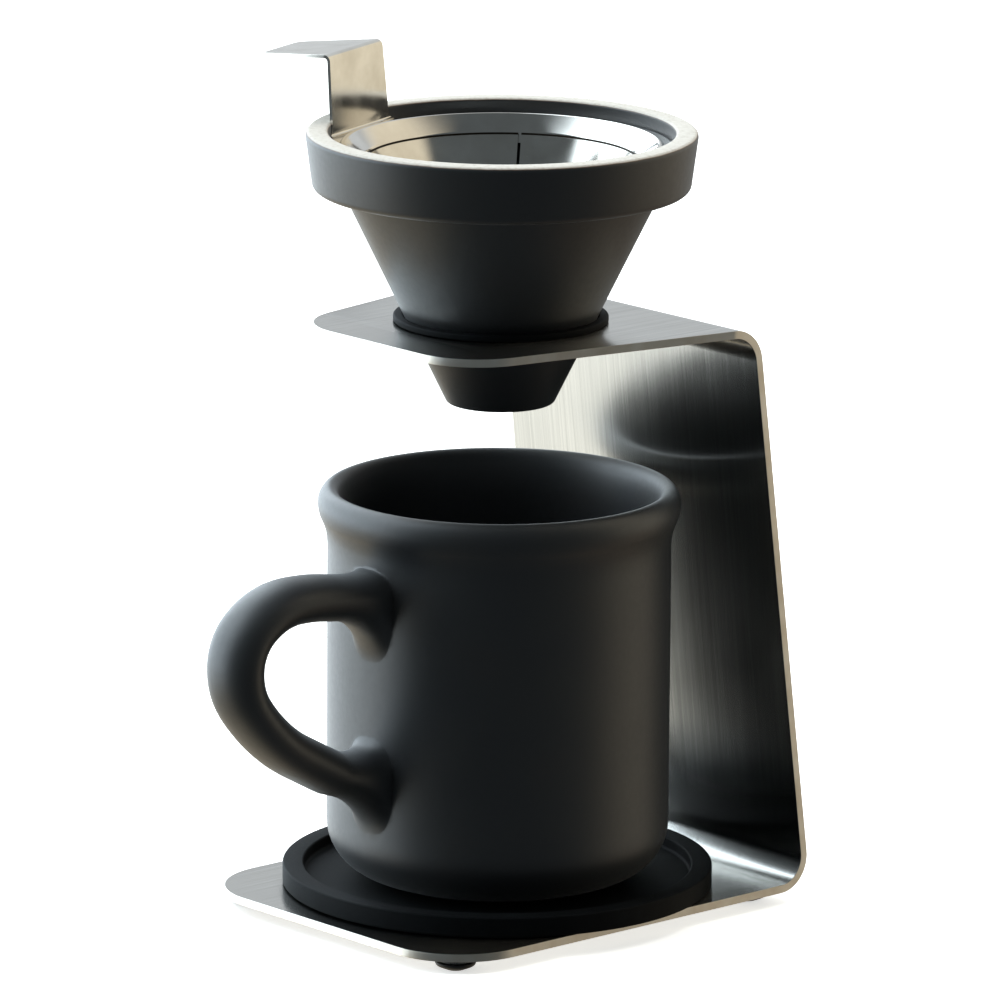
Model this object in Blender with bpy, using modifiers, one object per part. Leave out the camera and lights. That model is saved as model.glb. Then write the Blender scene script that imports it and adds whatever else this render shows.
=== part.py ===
"""A pour-over coffee stand: a twice-bent steel sheet that holds a ceramic dripper over a mug.

Metres, +Z up. The floor is z = 0, the stand's open front faces -Y and its leaning back panel is at +Y.
Every piece is built around the cup axis, the upright line through the dripper, mug and mat. The empty
"cup_axis" then carries them all, so that the origin is the middle of the whole set's footprint.
"""

import math

import bmesh
import bpy
from mathutils import Vector

# ---- driving dimensions ----

GAP = 0.0003  # between pieces that touch on the real object

# Stand: one steel sheet, seen from the side as base, back panel and shelf.
SHEET = 0.0020
FOOT_HEIGHT = 0.0030  # floor to the sheet's underside
BASE_TOP = FOOT_HEIGHT + SHEET
SHELF_TOP = BASE_TOP + 0.1411
BASE_FRONT = -0.0577
SHELF_FRONT = -0.0401
PANEL_FOOT = 0.0602  # the panel's rear face at the height of the base's top
PANEL_HEAD = 0.0431  # the same face at the height of the shelf's top
BASE_BEND = 0.0084  # outer radius
SHELF_BEND = 0.0091
BASE_HALF_WIDTH = 0.0483
PANEL_HEAD_HALF_WIDTH = 0.0459
SHELF_FRONT_HALF_WIDTH = 0.0311  # where the tapered sides would meet the front edge
BASE_CORNER = 0.0200
SHELF_CORNER = 0.0175
SHELF_HOLE = 0.0249

# Feet: domed rubber discs on adhesive pads.
FOOT_RADIUS = 0.0050
FOOT_FLAT = 0.0022  # radius of the flat the dome stands on
PAD_RADIUS = 0.0044
PAD_HEIGHT = 0.0004
FOOT_X = 0.0388
FOOT_FRONT_Y = -0.0478
FOOT_REAR_Y = 0.0480

# Mat: a round coaster with a raised rim.
MAT_RADIUS = 0.0528
MAT_INNER = 0.0477
MAT_HEIGHT = 0.0050
MAT_FLOOR = 0.0020
MAT_BOTTOM = BASE_TOP + GAP
MAT_EDGE = 0.0005

# Mug.
MUG_RADIUS = 0.0420
MUG_WALL = 0.0040
MUG_LIP = 0.0444
MUG_BOTTOM = MAT_BOTTOM + MAT_FLOOR + GAP
MUG_TOP = BASE_TOP + 0.1002
MUG_LIP_HEIGHT = 0.0100  # the rolled lip, top to where it meets the wall
MUG_BOTTOM_CURVE = 0.0130
MUG_FLOOR_CURVE = 0.0100
MUG_FLOOR = 0.0048  # inside floor above the foot ring
MUG_FOOT_RADIUS = 0.0290
MUG_FOOT_WIDTH = 0.0035
MUG_FOOT_HEIGHT = 0.0010
HANDLE_THICK = 0.0106
HANDLE_WIDE = 0.0165
HANDLE_REACH = 0.0862  # cup axis to the middle of the handle's outermost stretch
HANDLE_ROUTE = (  # (share of the way from the mug's wall to the reach, height above the base's top, swell)
    (-0.036, 0.0780, 1.34),
    (0.072, 0.0782, 1.22),
    (0.192, 0.0798, 1.06),
    (0.446, 0.0812, 1.0),
    (0.785, 0.0800, 1.0),
    (1.0, 0.0675, 1.0),
    (0.853, 0.0535, 1.0),
    (0.502, 0.0419, 1.0),
    (0.226, 0.0352, 1.06),
    (0.079, 0.0322, 1.22),
    (-0.036, 0.0318, 1.34),
)

# Dripper: a cone with a collar. CONE_SLOPE is its radius gained for each metre of height.
CONE_SLOPE = 0.488
CONE_RADIUS_AT_SHELF = 0.0229
DRIPPER_TOP = BASE_TOP + 0.1880
DRIPPER_BOTTOM = BASE_TOP + 0.1209
COLLAR_HEIGHT = 0.0143
COLLAR_RADIUS = 0.0477
COLLAR_LOWER_RADIUS = 0.0458
DRIPPER_BORE = 0.0420  # inside the collar
DRIPPER_WALL = 0.0050  # the cone's, measured level
LEDGE = 0.0046  # the filter's seat, below the rim
OUTLET_RADIUS = 0.0088
RIM_ROUND = 0.0012
COLLAR_ROUND = 0.0024  # the collar's lower edge
FILLET = 0.0013  # where the collar meets the cone, and at the foot of the cone
OUTLET_DEPTH = 0.0025
THROAT_DEPTH = 0.0050  # from the foot of the cone to where the outlet's hollow meets the cone's

# Seat ring: a grooved silicone ring pinched onto the edge of the shelf's hole.
RING_FLANGE_RADIUS = 0.0262
RING_FLANGE = 0.0014
RING_LIP_RADIUS = 0.0256
RING_LIP = 0.0012
RING_EDGE = 0.0004

# Filter.
STEEL = 0.0006
FLANGE_RADIUS = 0.0412
RIDGE_RADIUS = 0.0384
SEAM_RADIUS = 0.0336
RIDGE_RISE = 0.0012  # above the flange
SEAM_DROP = 0.0045  # below the ridge
RIM_SKIRT = 0.0025  # how far the pressed rim laps down over the funnel
FUNNEL_HEIGHT = 0.0125
FILTER_LENGTH = 0.0520  # seam to the underside of the base cup
FILTER_SLOPE = 0.485
BASE_CUP_HEIGHT = 0.0050
SCREEN_LAP = 0.0020  # screens over the funnel
TAB_DIRECTION = math.radians(199)
TAB_SHEET = 0.0008
TAB_ROOT_WIDTH = 0.0235
TAB_FOLD_WIDTH = 0.0215
TAB_END_WIDTH = 0.0145
TAB_ROOT = 0.0397  # cup axis to the strip's foot
TAB_FOLD = 0.0412
TAB_RISE = 0.0200  # flange to fold
TAB_LENGTH = 0.0212
TAB_DROOP = 0.0021
TAB_FOLD_RADIUS = 0.0016
TAB_ROOT_RADIUS = 0.0004
TAB_CORNER = 0.0022

# Where the cup axis stands, with the origin in the middle of the whole set's footprint.
FLAP_END = TAB_FOLD + TAB_LENGTH
FOOTPRINT_LEFT = FLAP_END * math.cos(TAB_DIRECTION) + TAB_END_WIDTH / 2 * math.sin(TAB_DIRECTION)
FOOTPRINT_FRONT = -(HANDLE_REACH + HANDLE_THICK / 2)
CUP_AXIS_X = -(FOOTPRINT_LEFT + MAT_RADIUS) / 2
CUP_AXIS_Y = -(FOOTPRINT_FRONT + PANEL_FOOT) / 2

# Facets.
ROUND_STEPS = 48
SMALL_STEPS = 24
BEND_STEPS = 6
CORNER_STEPS = 6
DOME_STEPS = 5
EDGE_STEPS = 3


# ---- scene and materials ----

def clear_scene():
    for old in list(bpy.data.objects):
        bpy.data.objects.remove(old, do_unlink=True)


def new_collection(name, hidden=False):
    collection = bpy.data.collections.new(name)
    bpy.context.scene.collection.children.link(collection)
    collection.hide_render = hidden
    return collection


def new_material(name, colour, roughness, metallic=0.0):
    material = bpy.data.materials.new(name)
    material.use_nodes = True
    shader = material.node_tree.nodes["Principled BSDF"]
    shader.inputs["Base Color"].default_value = (*colour, 1.0)
    shader.inputs["Roughness"].default_value = roughness
    shader.inputs["Metallic"].default_value = metallic
    return material


def new_object(name, mesh, material, parent):
    mesh.shade_smooth()
    mesh.set_sharp_from_angle(angle=math.radians(35))
    mesh.materials.append(material)
    piece = bpy.data.objects.new(name, mesh)
    PARTS.objects.link(piece)
    piece.parent = parent
    return piece


def new_empty(name, parent=None, place=(0, 0, 0)):
    empty = bpy.data.objects.new(name, None)
    PARTS.objects.link(empty)
    empty.parent = parent
    empty.location = place
    return empty


# ---- shape helpers ----

def turned_mesh(name, profile, steps, closed=True):
    """The mesh of a profile of (radius, height) points turned about Z, outer side first, top to bottom."""
    flat = bmesh.new()
    points = [flat.verts.new((radius, 0, height)) for radius, height in profile]
    for first, second in zip(points, points[1:]):
        flat.edges.new((first, second))
    if closed:
        flat.edges.new((points[-1], points[0]))
    source = bpy.data.meshes.new(name)
    flat.to_mesh(source)
    flat.free()
    turner = bpy.data.objects.new(name + "_profile", source)
    GUIDES.objects.link(turner)
    screw = turner.modifiers.new("turn", "SCREW")
    screw.steps = steps
    screw.render_steps = steps
    screw.use_merge_vertices = True
    screw.merge_threshold = 0.00001
    return applied_mesh(turner, name)


def applied_mesh(source, name):
    """The evaluated mesh of an object, which is then removed, with its faces turned outwards."""
    bpy.context.view_layer.update()
    graph = bpy.context.evaluated_depsgraph_get()
    mesh = bpy.data.meshes.new_from_object(source.evaluated_get(graph))
    mesh.name = name
    shape = bmesh.new()
    shape.from_mesh(mesh)
    bmesh.ops.remove_doubles(shape, verts=shape.verts, dist=0.000001)
    loose = [edge for edge in shape.edges if not edge.link_faces]
    bmesh.ops.delete(shape, geom=loose, context="EDGES")
    bmesh.ops.recalc_face_normals(shape, faces=shape.faces)
    shape.to_mesh(mesh)
    shape.free()
    bpy.data.objects.remove(source, do_unlink=True)
    return mesh


def arc(centre, radius, start, end, steps):
    """Points along an arc, from the start angle to the end angle in degrees."""
    points = []
    for step in range(steps + 1):
        angle = math.radians(start + (end - start) * step / steps)
        points.append((centre[0] + radius * math.cos(angle), centre[1] + radius * math.sin(angle)))
    return points


def rounded_path(corners, radii, steps):
    """A 2D path through the corners, with an arc of the given radius at each inner corner."""
    path = [Vector(corners[0])]
    for before, corner, after, radius in zip(corners, corners[1:], corners[2:], radii):
        corner = Vector(corner)
        inward = (Vector(before) - corner).normalized()
        outward = (Vector(after) - corner).normalized()
        half = inward.angle(outward) / 2
        centre = corner + (inward + outward).normalized() * radius / math.sin(half)
        start = corner + inward * radius / math.tan(half) - centre
        end = corner + outward * radius / math.tan(half) - centre
        turn = start.angle_signed(end)
        for step in range(steps + 1):
            angle = -turn * step / steps
            cosine, sine = math.cos(angle), math.sin(angle)
            spoke = Vector((start.x * cosine - start.y * sine, start.x * sine + start.y * cosine))
            path.append(centre + spoke)
    path.append(Vector(corners[-1]))
    return path


def ribbon_mesh(name, rows):
    """An open strip: each row is (half width, y, z), a straight line across X."""
    strip = bmesh.new()
    edges = []
    for half_width, y, z in rows:
        left = strip.verts.new((-half_width, y, z))
        right = strip.verts.new((half_width, y, z))
        edges.append((left, right))
    for (left, right), (next_left, next_right) in zip(edges, edges[1:]):
        strip.faces.new((left, right, next_right, next_left))
    mesh = bpy.data.meshes.new(name)
    strip.to_mesh(mesh)
    strip.free()
    return mesh


def thicken(piece, thickness):
    solid = piece.modifiers.new("sheet", "SOLIDIFY")
    solid.thickness = thickness
    solid.offset = 0
    solid.use_even_offset = True


def cutter_from(name, mesh, parent):
    cutter = bpy.data.objects.new(name, mesh)
    GUIDES.objects.link(cutter)
    cutter.parent = parent
    cutter.hide_render = True
    cutter.display_type = "WIRE"
    return cutter


def cut(piece, cutter):
    boolean = piece.modifiers.new("cut_" + cutter.name, "BOOLEAN")
    boolean.operation = "DIFFERENCE"
    boolean.solver = "EXACT"
    boolean.object = cutter


# ---- stand ----

def sheet_centre_line():
    """The side view of the sheet's mid surface, from the base's front edge to the shelf's front edge."""
    lean = math.atan2(PANEL_FOOT - PANEL_HEAD, SHELF_TOP - BASE_TOP)
    base_z = BASE_TOP - SHEET / 2
    shelf_z = SHELF_TOP - SHEET / 2

    def panel_y(z):
        return PANEL_FOOT - (z - BASE_TOP) * math.tan(lean) - SHEET / 2 / math.cos(lean)

    corners = [
        (BASE_FRONT, base_z),
        (panel_y(base_z), base_z),
        (panel_y(shelf_z), shelf_z),
        (SHELF_FRONT, shelf_z),
    ]
    return rounded_path(corners, (BASE_BEND - SHEET / 2, SHELF_BEND - SHEET / 2), BEND_STEPS)


def path_lengths(path):
    lengths = [0.0]
    for first, second in zip(path, path[1:]):
        lengths.append(lengths[-1] + (second - first).length)
    return lengths


def point_along(path, lengths, distance):
    for index in range(1, len(path)):
        if distance <= lengths[index] or index == len(path) - 1:
            share = (distance - lengths[index - 1]) / (lengths[index] - lengths[index - 1])
            return path[index - 1].lerp(path[index], share)


def corner_rows(half_width_at, taper, radius):
    """(distance from this end, half width) through a rounded corner whose side tapers towards the end."""
    lean = math.atan(taper)
    middle = half_width_at(radius) - radius / math.cos(lean)
    rows = []
    for step in range(CORNER_STEPS + 1):
        angle = lean + (math.pi / 2 - lean) * step / CORNER_STEPS
        rows.append((radius - radius * math.sin(angle), middle + radius * math.cos(angle)))
    return rows


def sheet_rows():
    """Rows across the sheet: the blank's half width at each distance along the bent centre line."""
    path = sheet_centre_line()
    lengths = path_lengths(path)
    total = lengths[-1]
    panel_start = lengths[1]
    shelf_start = lengths[-2]
    shelf_taper = (PANEL_HEAD_HALF_WIDTH - SHELF_FRONT_HALF_WIDTH) / (total - shelf_start)

    def half_width(distance):
        if distance <= panel_start:
            return BASE_HALF_WIDTH
        if distance <= shelf_start:
            share = (distance - panel_start) / (shelf_start - panel_start)
            return BASE_HALF_WIDTH + (PANEL_HEAD_HALF_WIDTH - BASE_HALF_WIDTH) * share
        return PANEL_HEAD_HALF_WIDTH - shelf_taper * (distance - shelf_start)

    base_corner = corner_rows(lambda away: BASE_HALF_WIDTH, 0, BASE_CORNER)
    shelf_corner = corner_rows(lambda away: half_width(total - away), shelf_taper, SHELF_CORNER)
    spans = [(away, wide) for away, wide in reversed(base_corner)]
    spans += [(distance, half_width(distance)) for distance in lengths[1:-1]]
    spans += [(total - away, wide) for away, wide in shelf_corner]
    rows = []
    for distance, wide in spans:
        place = point_along(path, lengths, distance)
        rows.append((wide, place.x, place.y))
    return rows


def make_stand(parent):
    mesh = ribbon_mesh("stand_frame", sheet_rows())
    frame = new_object("stand_frame", mesh, BRUSHED_STEEL, parent)
    thicken(frame, SHEET)
    above = SHELF_TOP + SHEET
    below = SHELF_TOP - 2 * SHEET
    profile = [(0, above), (SHELF_HOLE, above), (SHELF_HOLE, below), (0, below)]
    hole = cutter_from("shelf_hole", turned_mesh("shelf_hole", profile, ROUND_STEPS, False), parent)
    cut(frame, hole)


def make_foot(name, x, y, parent):
    pad_top = FOOT_HEIGHT - GAP
    pad_bottom = pad_top - PAD_HEIGHT
    foot_top = pad_bottom - GAP
    stem = new_empty(name + "_place", parent, (x, y, 0))
    pad = [(0, pad_top), (PAD_RADIUS, pad_top), (PAD_RADIUS, pad_bottom), (0, pad_bottom)]
    pad_mesh = turned_mesh("foot_pad_" + name, pad, SMALL_STEPS, False)
    new_object("foot_pad_" + name, pad_mesh, ADHESIVE, stem)
    dome = [(0, foot_top), (FOOT_RADIUS, foot_top)]
    for step in range(1, DOME_STEPS + 1):
        angle = math.radians(90 * step / DOME_STEPS)
        reach = FOOT_FLAT + (FOOT_RADIUS - FOOT_FLAT) * math.cos(angle)
        dome.append((reach, foot_top * (1 - math.sin(angle))))
    dome.append((0, 0))
    new_object("foot_" + name, turned_mesh("foot_" + name, dome, SMALL_STEPS, False), RUBBER, stem)


# ---- dripper and its ring ----

def cone_radius(height):
    return CONE_RADIUS_AT_SHELF + CONE_SLOPE * (height - SHELF_TOP)


def make_seat_ring(parent):
    top = SHELF_TOP + GAP + RING_FLANGE
    seat = SHELF_TOP + GAP
    under = SHELF_TOP - SHEET - GAP
    bottom = under - RING_LIP
    neck = SHELF_HOLE - GAP
    profile = [
        (cone_radius(top) + GAP, top),
        (RING_FLANGE_RADIUS - RING_EDGE, top),
        (RING_FLANGE_RADIUS, top - RING_EDGE),
        (RING_FLANGE_RADIUS, seat),
        (neck, seat),
        (neck, under),
        (RING_LIP_RADIUS, under),
        (RING_LIP_RADIUS - RING_LIP, bottom),
        (cone_radius(bottom) + GAP, bottom),
    ]
    new_object("seat_ring", turned_mesh("seat_ring", profile, ROUND_STEPS), SILICONE, parent)


def make_dripper(parent):
    collar_bottom = DRIPPER_TOP - COLLAR_HEIGHT
    ledge = DRIPPER_TOP - LEDGE
    throat = DRIPPER_BOTTOM + THROAT_DEPTH
    knee = FILLET / 2
    profile = arc((COLLAR_RADIUS - RIM_ROUND, DRIPPER_TOP - RIM_ROUND), RIM_ROUND, 90, 0, EDGE_STEPS)
    collar_edge = (COLLAR_LOWER_RADIUS - COLLAR_ROUND, collar_bottom + COLLAR_ROUND)
    profile += arc(collar_edge, COLLAR_ROUND, -10, -90, EDGE_STEPS)
    profile += [
        (cone_radius(collar_bottom) + FILLET, collar_bottom),
        (cone_radius(collar_bottom - FILLET), collar_bottom - FILLET),
        (cone_radius(DRIPPER_BOTTOM + FILLET), DRIPPER_BOTTOM + FILLET),
        (cone_radius(DRIPPER_BOTTOM) - FILLET, DRIPPER_BOTTOM),
        (OUTLET_RADIUS, DRIPPER_BOTTOM),
        (OUTLET_RADIUS, DRIPPER_BOTTOM + OUTLET_DEPTH),
        (cone_radius(throat) - DRIPPER_WALL, throat),
        (cone_radius(ledge - knee) - DRIPPER_WALL, ledge - knee),
        (cone_radius(ledge) - DRIPPER_WALL + knee, ledge),
        (DRIPPER_BORE - knee, ledge),
        (DRIPPER_BORE, ledge + knee),
    ]
    profile += arc((DRIPPER_BORE + RIM_ROUND, DRIPPER_TOP - RIM_ROUND), RIM_ROUND, 180, 90, EDGE_STEPS)
    new_object("dripper", turned_mesh("dripper", profile, ROUND_STEPS), CERAMIC, parent)


# ---- filter ----

FLANGE_TOP = DRIPPER_TOP - LEDGE + GAP + STEEL
RIDGE_Z = FLANGE_TOP + RIDGE_RISE
SEAM_Z = RIDGE_Z - SEAM_DROP
WALL = STEEL / math.cos(math.atan(FILTER_SLOPE))  # a cone wall's thickness, measured level


def filter_radius(height):
    """Outer radius of the plain funnel's cone at a height."""
    return SEAM_RADIUS - FILTER_SLOPE * (SEAM_Z - height)


def make_filter_rim(parent):
    skirt = SEAM_Z - RIM_SKIRT
    inner_skirt = filter_radius(skirt) + GAP * 1.2
    inner_seam = filter_radius(SEAM_Z) + GAP * 1.2
    profile = [
        (RIDGE_RADIUS, RIDGE_Z),
        (RIDGE_RADIUS + 0.0007, FLANGE_TOP),
        (FLANGE_RADIUS, FLANGE_TOP),
        (FLANGE_RADIUS, FLANGE_TOP - STEEL),
        (RIDGE_RADIUS + 0.0001, FLANGE_TOP - STEEL),
        (inner_seam + WALL, SEAM_Z - STEEL / 2),
        (inner_skirt + WALL, skirt),
        (inner_skirt, skirt),
        (inner_seam, SEAM_Z + STEEL / 2),
        (RIDGE_RADIUS - STEEL, RIDGE_Z),
    ]
    new_object("filter_rim", turned_mesh("filter_rim", profile, ROUND_STEPS), POLISHED_STEEL, parent)


def cone_shell(name, top, bottom, outward, wall, material, parent):
    """A cone wall between two heights, moved outward from the funnel's outer face by a level distance."""
    profile = [
        (filter_radius(top) + outward, top),
        (filter_radius(bottom) + outward, bottom),
        (filter_radius(bottom) + outward - wall, bottom),
        (filter_radius(top) + outward - wall, top),
    ]
    new_object(name, turned_mesh(name, profile, ROUND_STEPS), material, parent)


def make_filter_base(parent):
    bottom = SEAM_Z - FILTER_LENGTH
    top = bottom + BASE_CUP_HEIGHT
    knee = bottom + STEEL * 2
    outward = WALL + 2.5 * GAP
    inner_knee = filter_radius(knee) + outward
    profile = [
        (filter_radius(top) + outward + WALL, top),
        (inner_knee + WALL, knee),
        (inner_knee - 0.0004, bottom),
        (0, bottom),
        (0, bottom + STEEL),
        (inner_knee - STEEL, bottom + STEEL),
        (inner_knee, knee),
        (filter_radius(top) + outward, top),
    ]
    mesh = turned_mesh("filter_base", profile, SMALL_STEPS, True)
    new_object("filter_base", mesh, POLISHED_STEEL, parent)


def make_filter_cones(parent):
    funnel_bottom = SEAM_Z - FUNNEL_HEIGHT
    screen_bottom = SEAM_Z - FILTER_LENGTH + STEEL + GAP * 2
    cone_shell("filter_funnel", SEAM_Z, funnel_bottom, 0, WALL, POLISHED_STEEL, parent)
    screen_top = funnel_bottom + SCREEN_LAP
    outward = WALL + 1.2 * GAP
    cone_shell("filter_screen_outer", screen_top, screen_bottom, outward, WALL, SCREEN_STEEL, parent)
    inward = -(WALL + 1.2 * GAP)
    cone_shell("filter_screen_inner", screen_top, screen_bottom, inward, WALL, SCREEN_STEEL, parent)


def make_filter_tab(parent):
    """A bent strip: a short foot on the flange, an upright and a drooping finger tab."""
    foot_z = FLANGE_TOP + GAP + TAB_SHEET / 2
    fold_z = FLANGE_TOP + TAB_RISE
    corners = [
        (TAB_ROOT - 0.0007, foot_z),
        (TAB_ROOT + 0.0001, foot_z),
        (TAB_FOLD, fold_z),
        (TAB_FOLD + TAB_LENGTH, fold_z - TAB_DROOP),
    ]
    path = rounded_path(corners, (TAB_ROOT_RADIUS, TAB_FOLD_RADIUS), EDGE_STEPS + 1)
    lengths = path_lengths(path)
    total = lengths[-1]
    rows = []
    for place, length in zip(path[:-1], lengths[:-1]):
        if place.x <= TAB_FOLD:
            share = (place.y - foot_z) / (fold_z - foot_z)
            rows.append((TAB_ROOT_WIDTH / 2 + (TAB_FOLD_WIDTH - TAB_ROOT_WIDTH) / 2 * share, place))
        else:
            rows.append((TAB_FOLD_WIDTH / 2, place))
    for step in range(CORNER_STEPS - 1):
        angle = math.radians(90 * step / (CORNER_STEPS - 2))
        away = TAB_CORNER * (1 - math.sin(angle))
        wide = TAB_END_WIDTH / 2 - TAB_CORNER * (1 - math.cos(angle))
        rows.append((wide, point_along(path, lengths, total - away)))
    mesh = ribbon_mesh("filter_tab", [(wide, place.x, place.y) for wide, place in rows])
    tab = new_object("filter_tab", mesh, POLISHED_STEEL, parent)
    tab.rotation_euler.z = TAB_DIRECTION - math.pi / 2
    thicken(tab, TAB_SHEET)


# ---- mug and mat ----

def make_mat(parent):
    top = MAT_BOTTOM + MAT_HEIGHT
    floor = MAT_BOTTOM + MAT_FLOOR
    profile = [
        (0, floor),
        (MAT_INNER - MAT_EDGE, floor),
        (MAT_INNER, floor + MAT_EDGE),
        (MAT_INNER, top - MAT_EDGE),
        (MAT_INNER + MAT_EDGE, top),
        (MAT_RADIUS - MAT_EDGE, top),
        (MAT_RADIUS, top - MAT_EDGE),
        (MAT_RADIUS, MAT_BOTTOM + MAT_EDGE),
        (MAT_RADIUS - MAT_EDGE, MAT_BOTTOM),
        (0, MAT_BOTTOM),
    ]
    mesh = turned_mesh("mug_mat", profile, ROUND_STEPS, False)
    new_object("mug_mat", mesh, SILICONE, parent)


def mug_profile():
    """The mug's section: a rolled lip, a straight wall and a large curve into the bottom."""
    inner = MUG_RADIUS - MUG_WALL
    floor = MUG_BOTTOM + MUG_FLOOR
    neck = MUG_TOP - MUG_LIP_HEIGHT
    bulge = MUG_LIP - MUG_RADIUS
    profile = [
        (MUG_LIP - 0.9 * bulge, MUG_TOP - 0.02 * MUG_LIP_HEIGHT),
        (MUG_LIP - 0.3 * bulge, MUG_TOP - 0.08 * MUG_LIP_HEIGHT),
        (MUG_LIP, MUG_TOP - 0.28 * MUG_LIP_HEIGHT),
        (MUG_LIP - 0.25 * bulge, MUG_TOP - 0.6 * MUG_LIP_HEIGHT),
        (MUG_RADIUS + 0.15 * bulge, neck),
        (MUG_RADIUS, MUG_TOP - 1.35 * MUG_LIP_HEIGHT),
    ]
    belly = MUG_BOTTOM + MUG_FOOT_HEIGHT + MUG_BOTTOM_CURVE
    profile += arc((MUG_RADIUS - MUG_BOTTOM_CURVE, belly), MUG_BOTTOM_CURVE, 0, -82, 2 * EDGE_STEPS)
    profile += [
        (MUG_FOOT_RADIUS, MUG_BOTTOM),
        (MUG_FOOT_RADIUS - MUG_FOOT_WIDTH, MUG_BOTTOM),
        (MUG_FOOT_RADIUS - MUG_FOOT_WIDTH - MUG_FOOT_HEIGHT, MUG_BOTTOM + MUG_FOOT_HEIGHT),
        (0, MUG_BOTTOM + MUG_FOOT_HEIGHT),
        (0, floor),
    ]
    centre = (inner - MUG_FLOOR_CURVE, floor + MUG_FLOOR_CURVE)
    profile += arc(centre, MUG_FLOOR_CURVE, -90, 0, 2 * EDGE_STEPS)
    profile += [
        (inner, MUG_TOP - 1.5 * MUG_LIP_HEIGHT),
        (inner + 0.4 * MUG_WALL, MUG_TOP - 0.85 * MUG_LIP_HEIGHT),
        (MUG_LIP - 0.8 * MUG_WALL, MUG_TOP - 0.3 * MUG_LIP_HEIGHT),
        (MUG_LIP - 0.75 * MUG_WALL, MUG_TOP - 0.12 * MUG_LIP_HEIGHT),
    ]
    return profile


def handle_mesh():
    """The handle: a round-sectioned loop in the YZ plane, then widened along X, with flared roots."""
    curve = bpy.data.curves.new("handle", "CURVE")
    curve.dimensions = "3D"
    curve.bevel_depth = HANDLE_THICK / 2
    curve.bevel_resolution = 3
    curve.use_fill_caps = True
    curve.resolution_u = 3
    spline = curve.splines.new("BEZIER")
    spline.bezier_points.add(len(HANDLE_ROUTE) - 1)
    for point, (share, height, swell) in zip(spline.bezier_points, HANDLE_ROUTE):
        away = MUG_RADIUS + share * (HANDLE_REACH - MUG_RADIUS)
        point.co = (0, -away, BASE_TOP + height)
        point.radius = swell
        point.handle_left_type = "AUTO"
        point.handle_right_type = "AUTO"
    loop = bpy.data.objects.new("handle", curve)
    GUIDES.objects.link(loop)
    mesh = applied_mesh(loop, "handle")
    for vertex in mesh.vertices:
        vertex.co.x *= HANDLE_WIDE / HANDLE_THICK
    return mesh


def make_mug(parent):
    mesh = turned_mesh("mug", mug_profile(), ROUND_STEPS)
    mug = new_object("mug", mesh, CERAMIC, parent)
    handle = cutter_from("mug_handle", handle_mesh(), parent)
    join = mug.modifiers.new("handle", "BOOLEAN")
    join.operation = "UNION"
    join.solver = "EXACT"
    join.object = handle


# ---- assembly ----

clear_scene()
PARTS = new_collection("pour_over_stand")
GUIDES = new_collection("cutters", hidden=True)
BRUSHED_STEEL = new_material("brushed_steel", (0.56, 0.56, 0.55), 0.32, 1.0)
POLISHED_STEEL = new_material("polished_steel", (0.66, 0.64, 0.60), 0.12, 1.0)
SCREEN_STEEL = new_material("screen_steel", (0.52, 0.51, 0.49), 0.35, 1.0)
CERAMIC = new_material("matt_black_glaze", (0.022, 0.021, 0.022), 0.45)
SILICONE = new_material("black_silicone", (0.018, 0.020, 0.022), 0.6)
RUBBER = new_material("black_rubber", (0.012, 0.012, 0.012), 0.7)
ADHESIVE = new_material("grey_adhesive", (0.25, 0.25, 0.25), 0.8)

axis = new_empty("cup_axis", place=(CUP_AXIS_X, CUP_AXIS_Y, 0))
make_stand(axis)
for side, x in (("left", -FOOT_X), ("right", FOOT_X)):
    make_foot("front_" + side, x, FOOT_FRONT_Y, axis)
    make_foot("rear_" + side, x, FOOT_REAR_Y, axis)
make_seat_ring(axis)
make_dripper(axis)
make_filter_rim(axis)
make_filter_cones(axis)
make_filter_base(axis)
make_filter_tab(axis)
make_mat(axis)
make_mug(axis)
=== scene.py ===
"""Looks of a pour-over coffee stand set: a brushed steel stand, a black stoneware dripper and mug,
a steel filter and a silicone mat.

Metres, +Z up, in the frame of the CAD part. Places come from the boxes of the CAD's pieces.
Radii and the y of side views are measured from the cup axis, the upright line through dripper and mug.
"""

import math

import bmesh
import bpy
from mathutils import Matrix, Vector


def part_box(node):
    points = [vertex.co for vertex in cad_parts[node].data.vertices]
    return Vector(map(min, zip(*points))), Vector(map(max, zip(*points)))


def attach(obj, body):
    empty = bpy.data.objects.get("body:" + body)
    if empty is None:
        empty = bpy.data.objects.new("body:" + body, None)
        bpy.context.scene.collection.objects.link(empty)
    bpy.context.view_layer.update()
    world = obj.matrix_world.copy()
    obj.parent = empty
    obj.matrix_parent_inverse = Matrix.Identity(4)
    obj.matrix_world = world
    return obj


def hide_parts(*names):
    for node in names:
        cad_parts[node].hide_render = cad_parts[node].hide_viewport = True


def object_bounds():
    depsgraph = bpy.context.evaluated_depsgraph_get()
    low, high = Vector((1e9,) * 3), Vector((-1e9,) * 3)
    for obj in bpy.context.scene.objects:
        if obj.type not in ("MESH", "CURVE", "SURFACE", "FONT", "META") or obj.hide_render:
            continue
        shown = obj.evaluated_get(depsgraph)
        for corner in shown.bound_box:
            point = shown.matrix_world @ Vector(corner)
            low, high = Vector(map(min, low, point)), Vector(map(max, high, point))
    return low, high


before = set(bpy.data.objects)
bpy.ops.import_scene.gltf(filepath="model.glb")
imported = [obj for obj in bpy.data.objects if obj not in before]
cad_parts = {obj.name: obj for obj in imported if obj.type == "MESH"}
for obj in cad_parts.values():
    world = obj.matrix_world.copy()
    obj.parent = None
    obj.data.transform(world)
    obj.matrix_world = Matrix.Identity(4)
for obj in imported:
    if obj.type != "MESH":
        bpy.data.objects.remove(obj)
CAD_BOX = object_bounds()

MM = 0.001

# ---- places and sizes from the frame ----

def radius_of(low, high):
    """Half the width of a piece's box."""
    return (high.x - low.x) / 2


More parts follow.
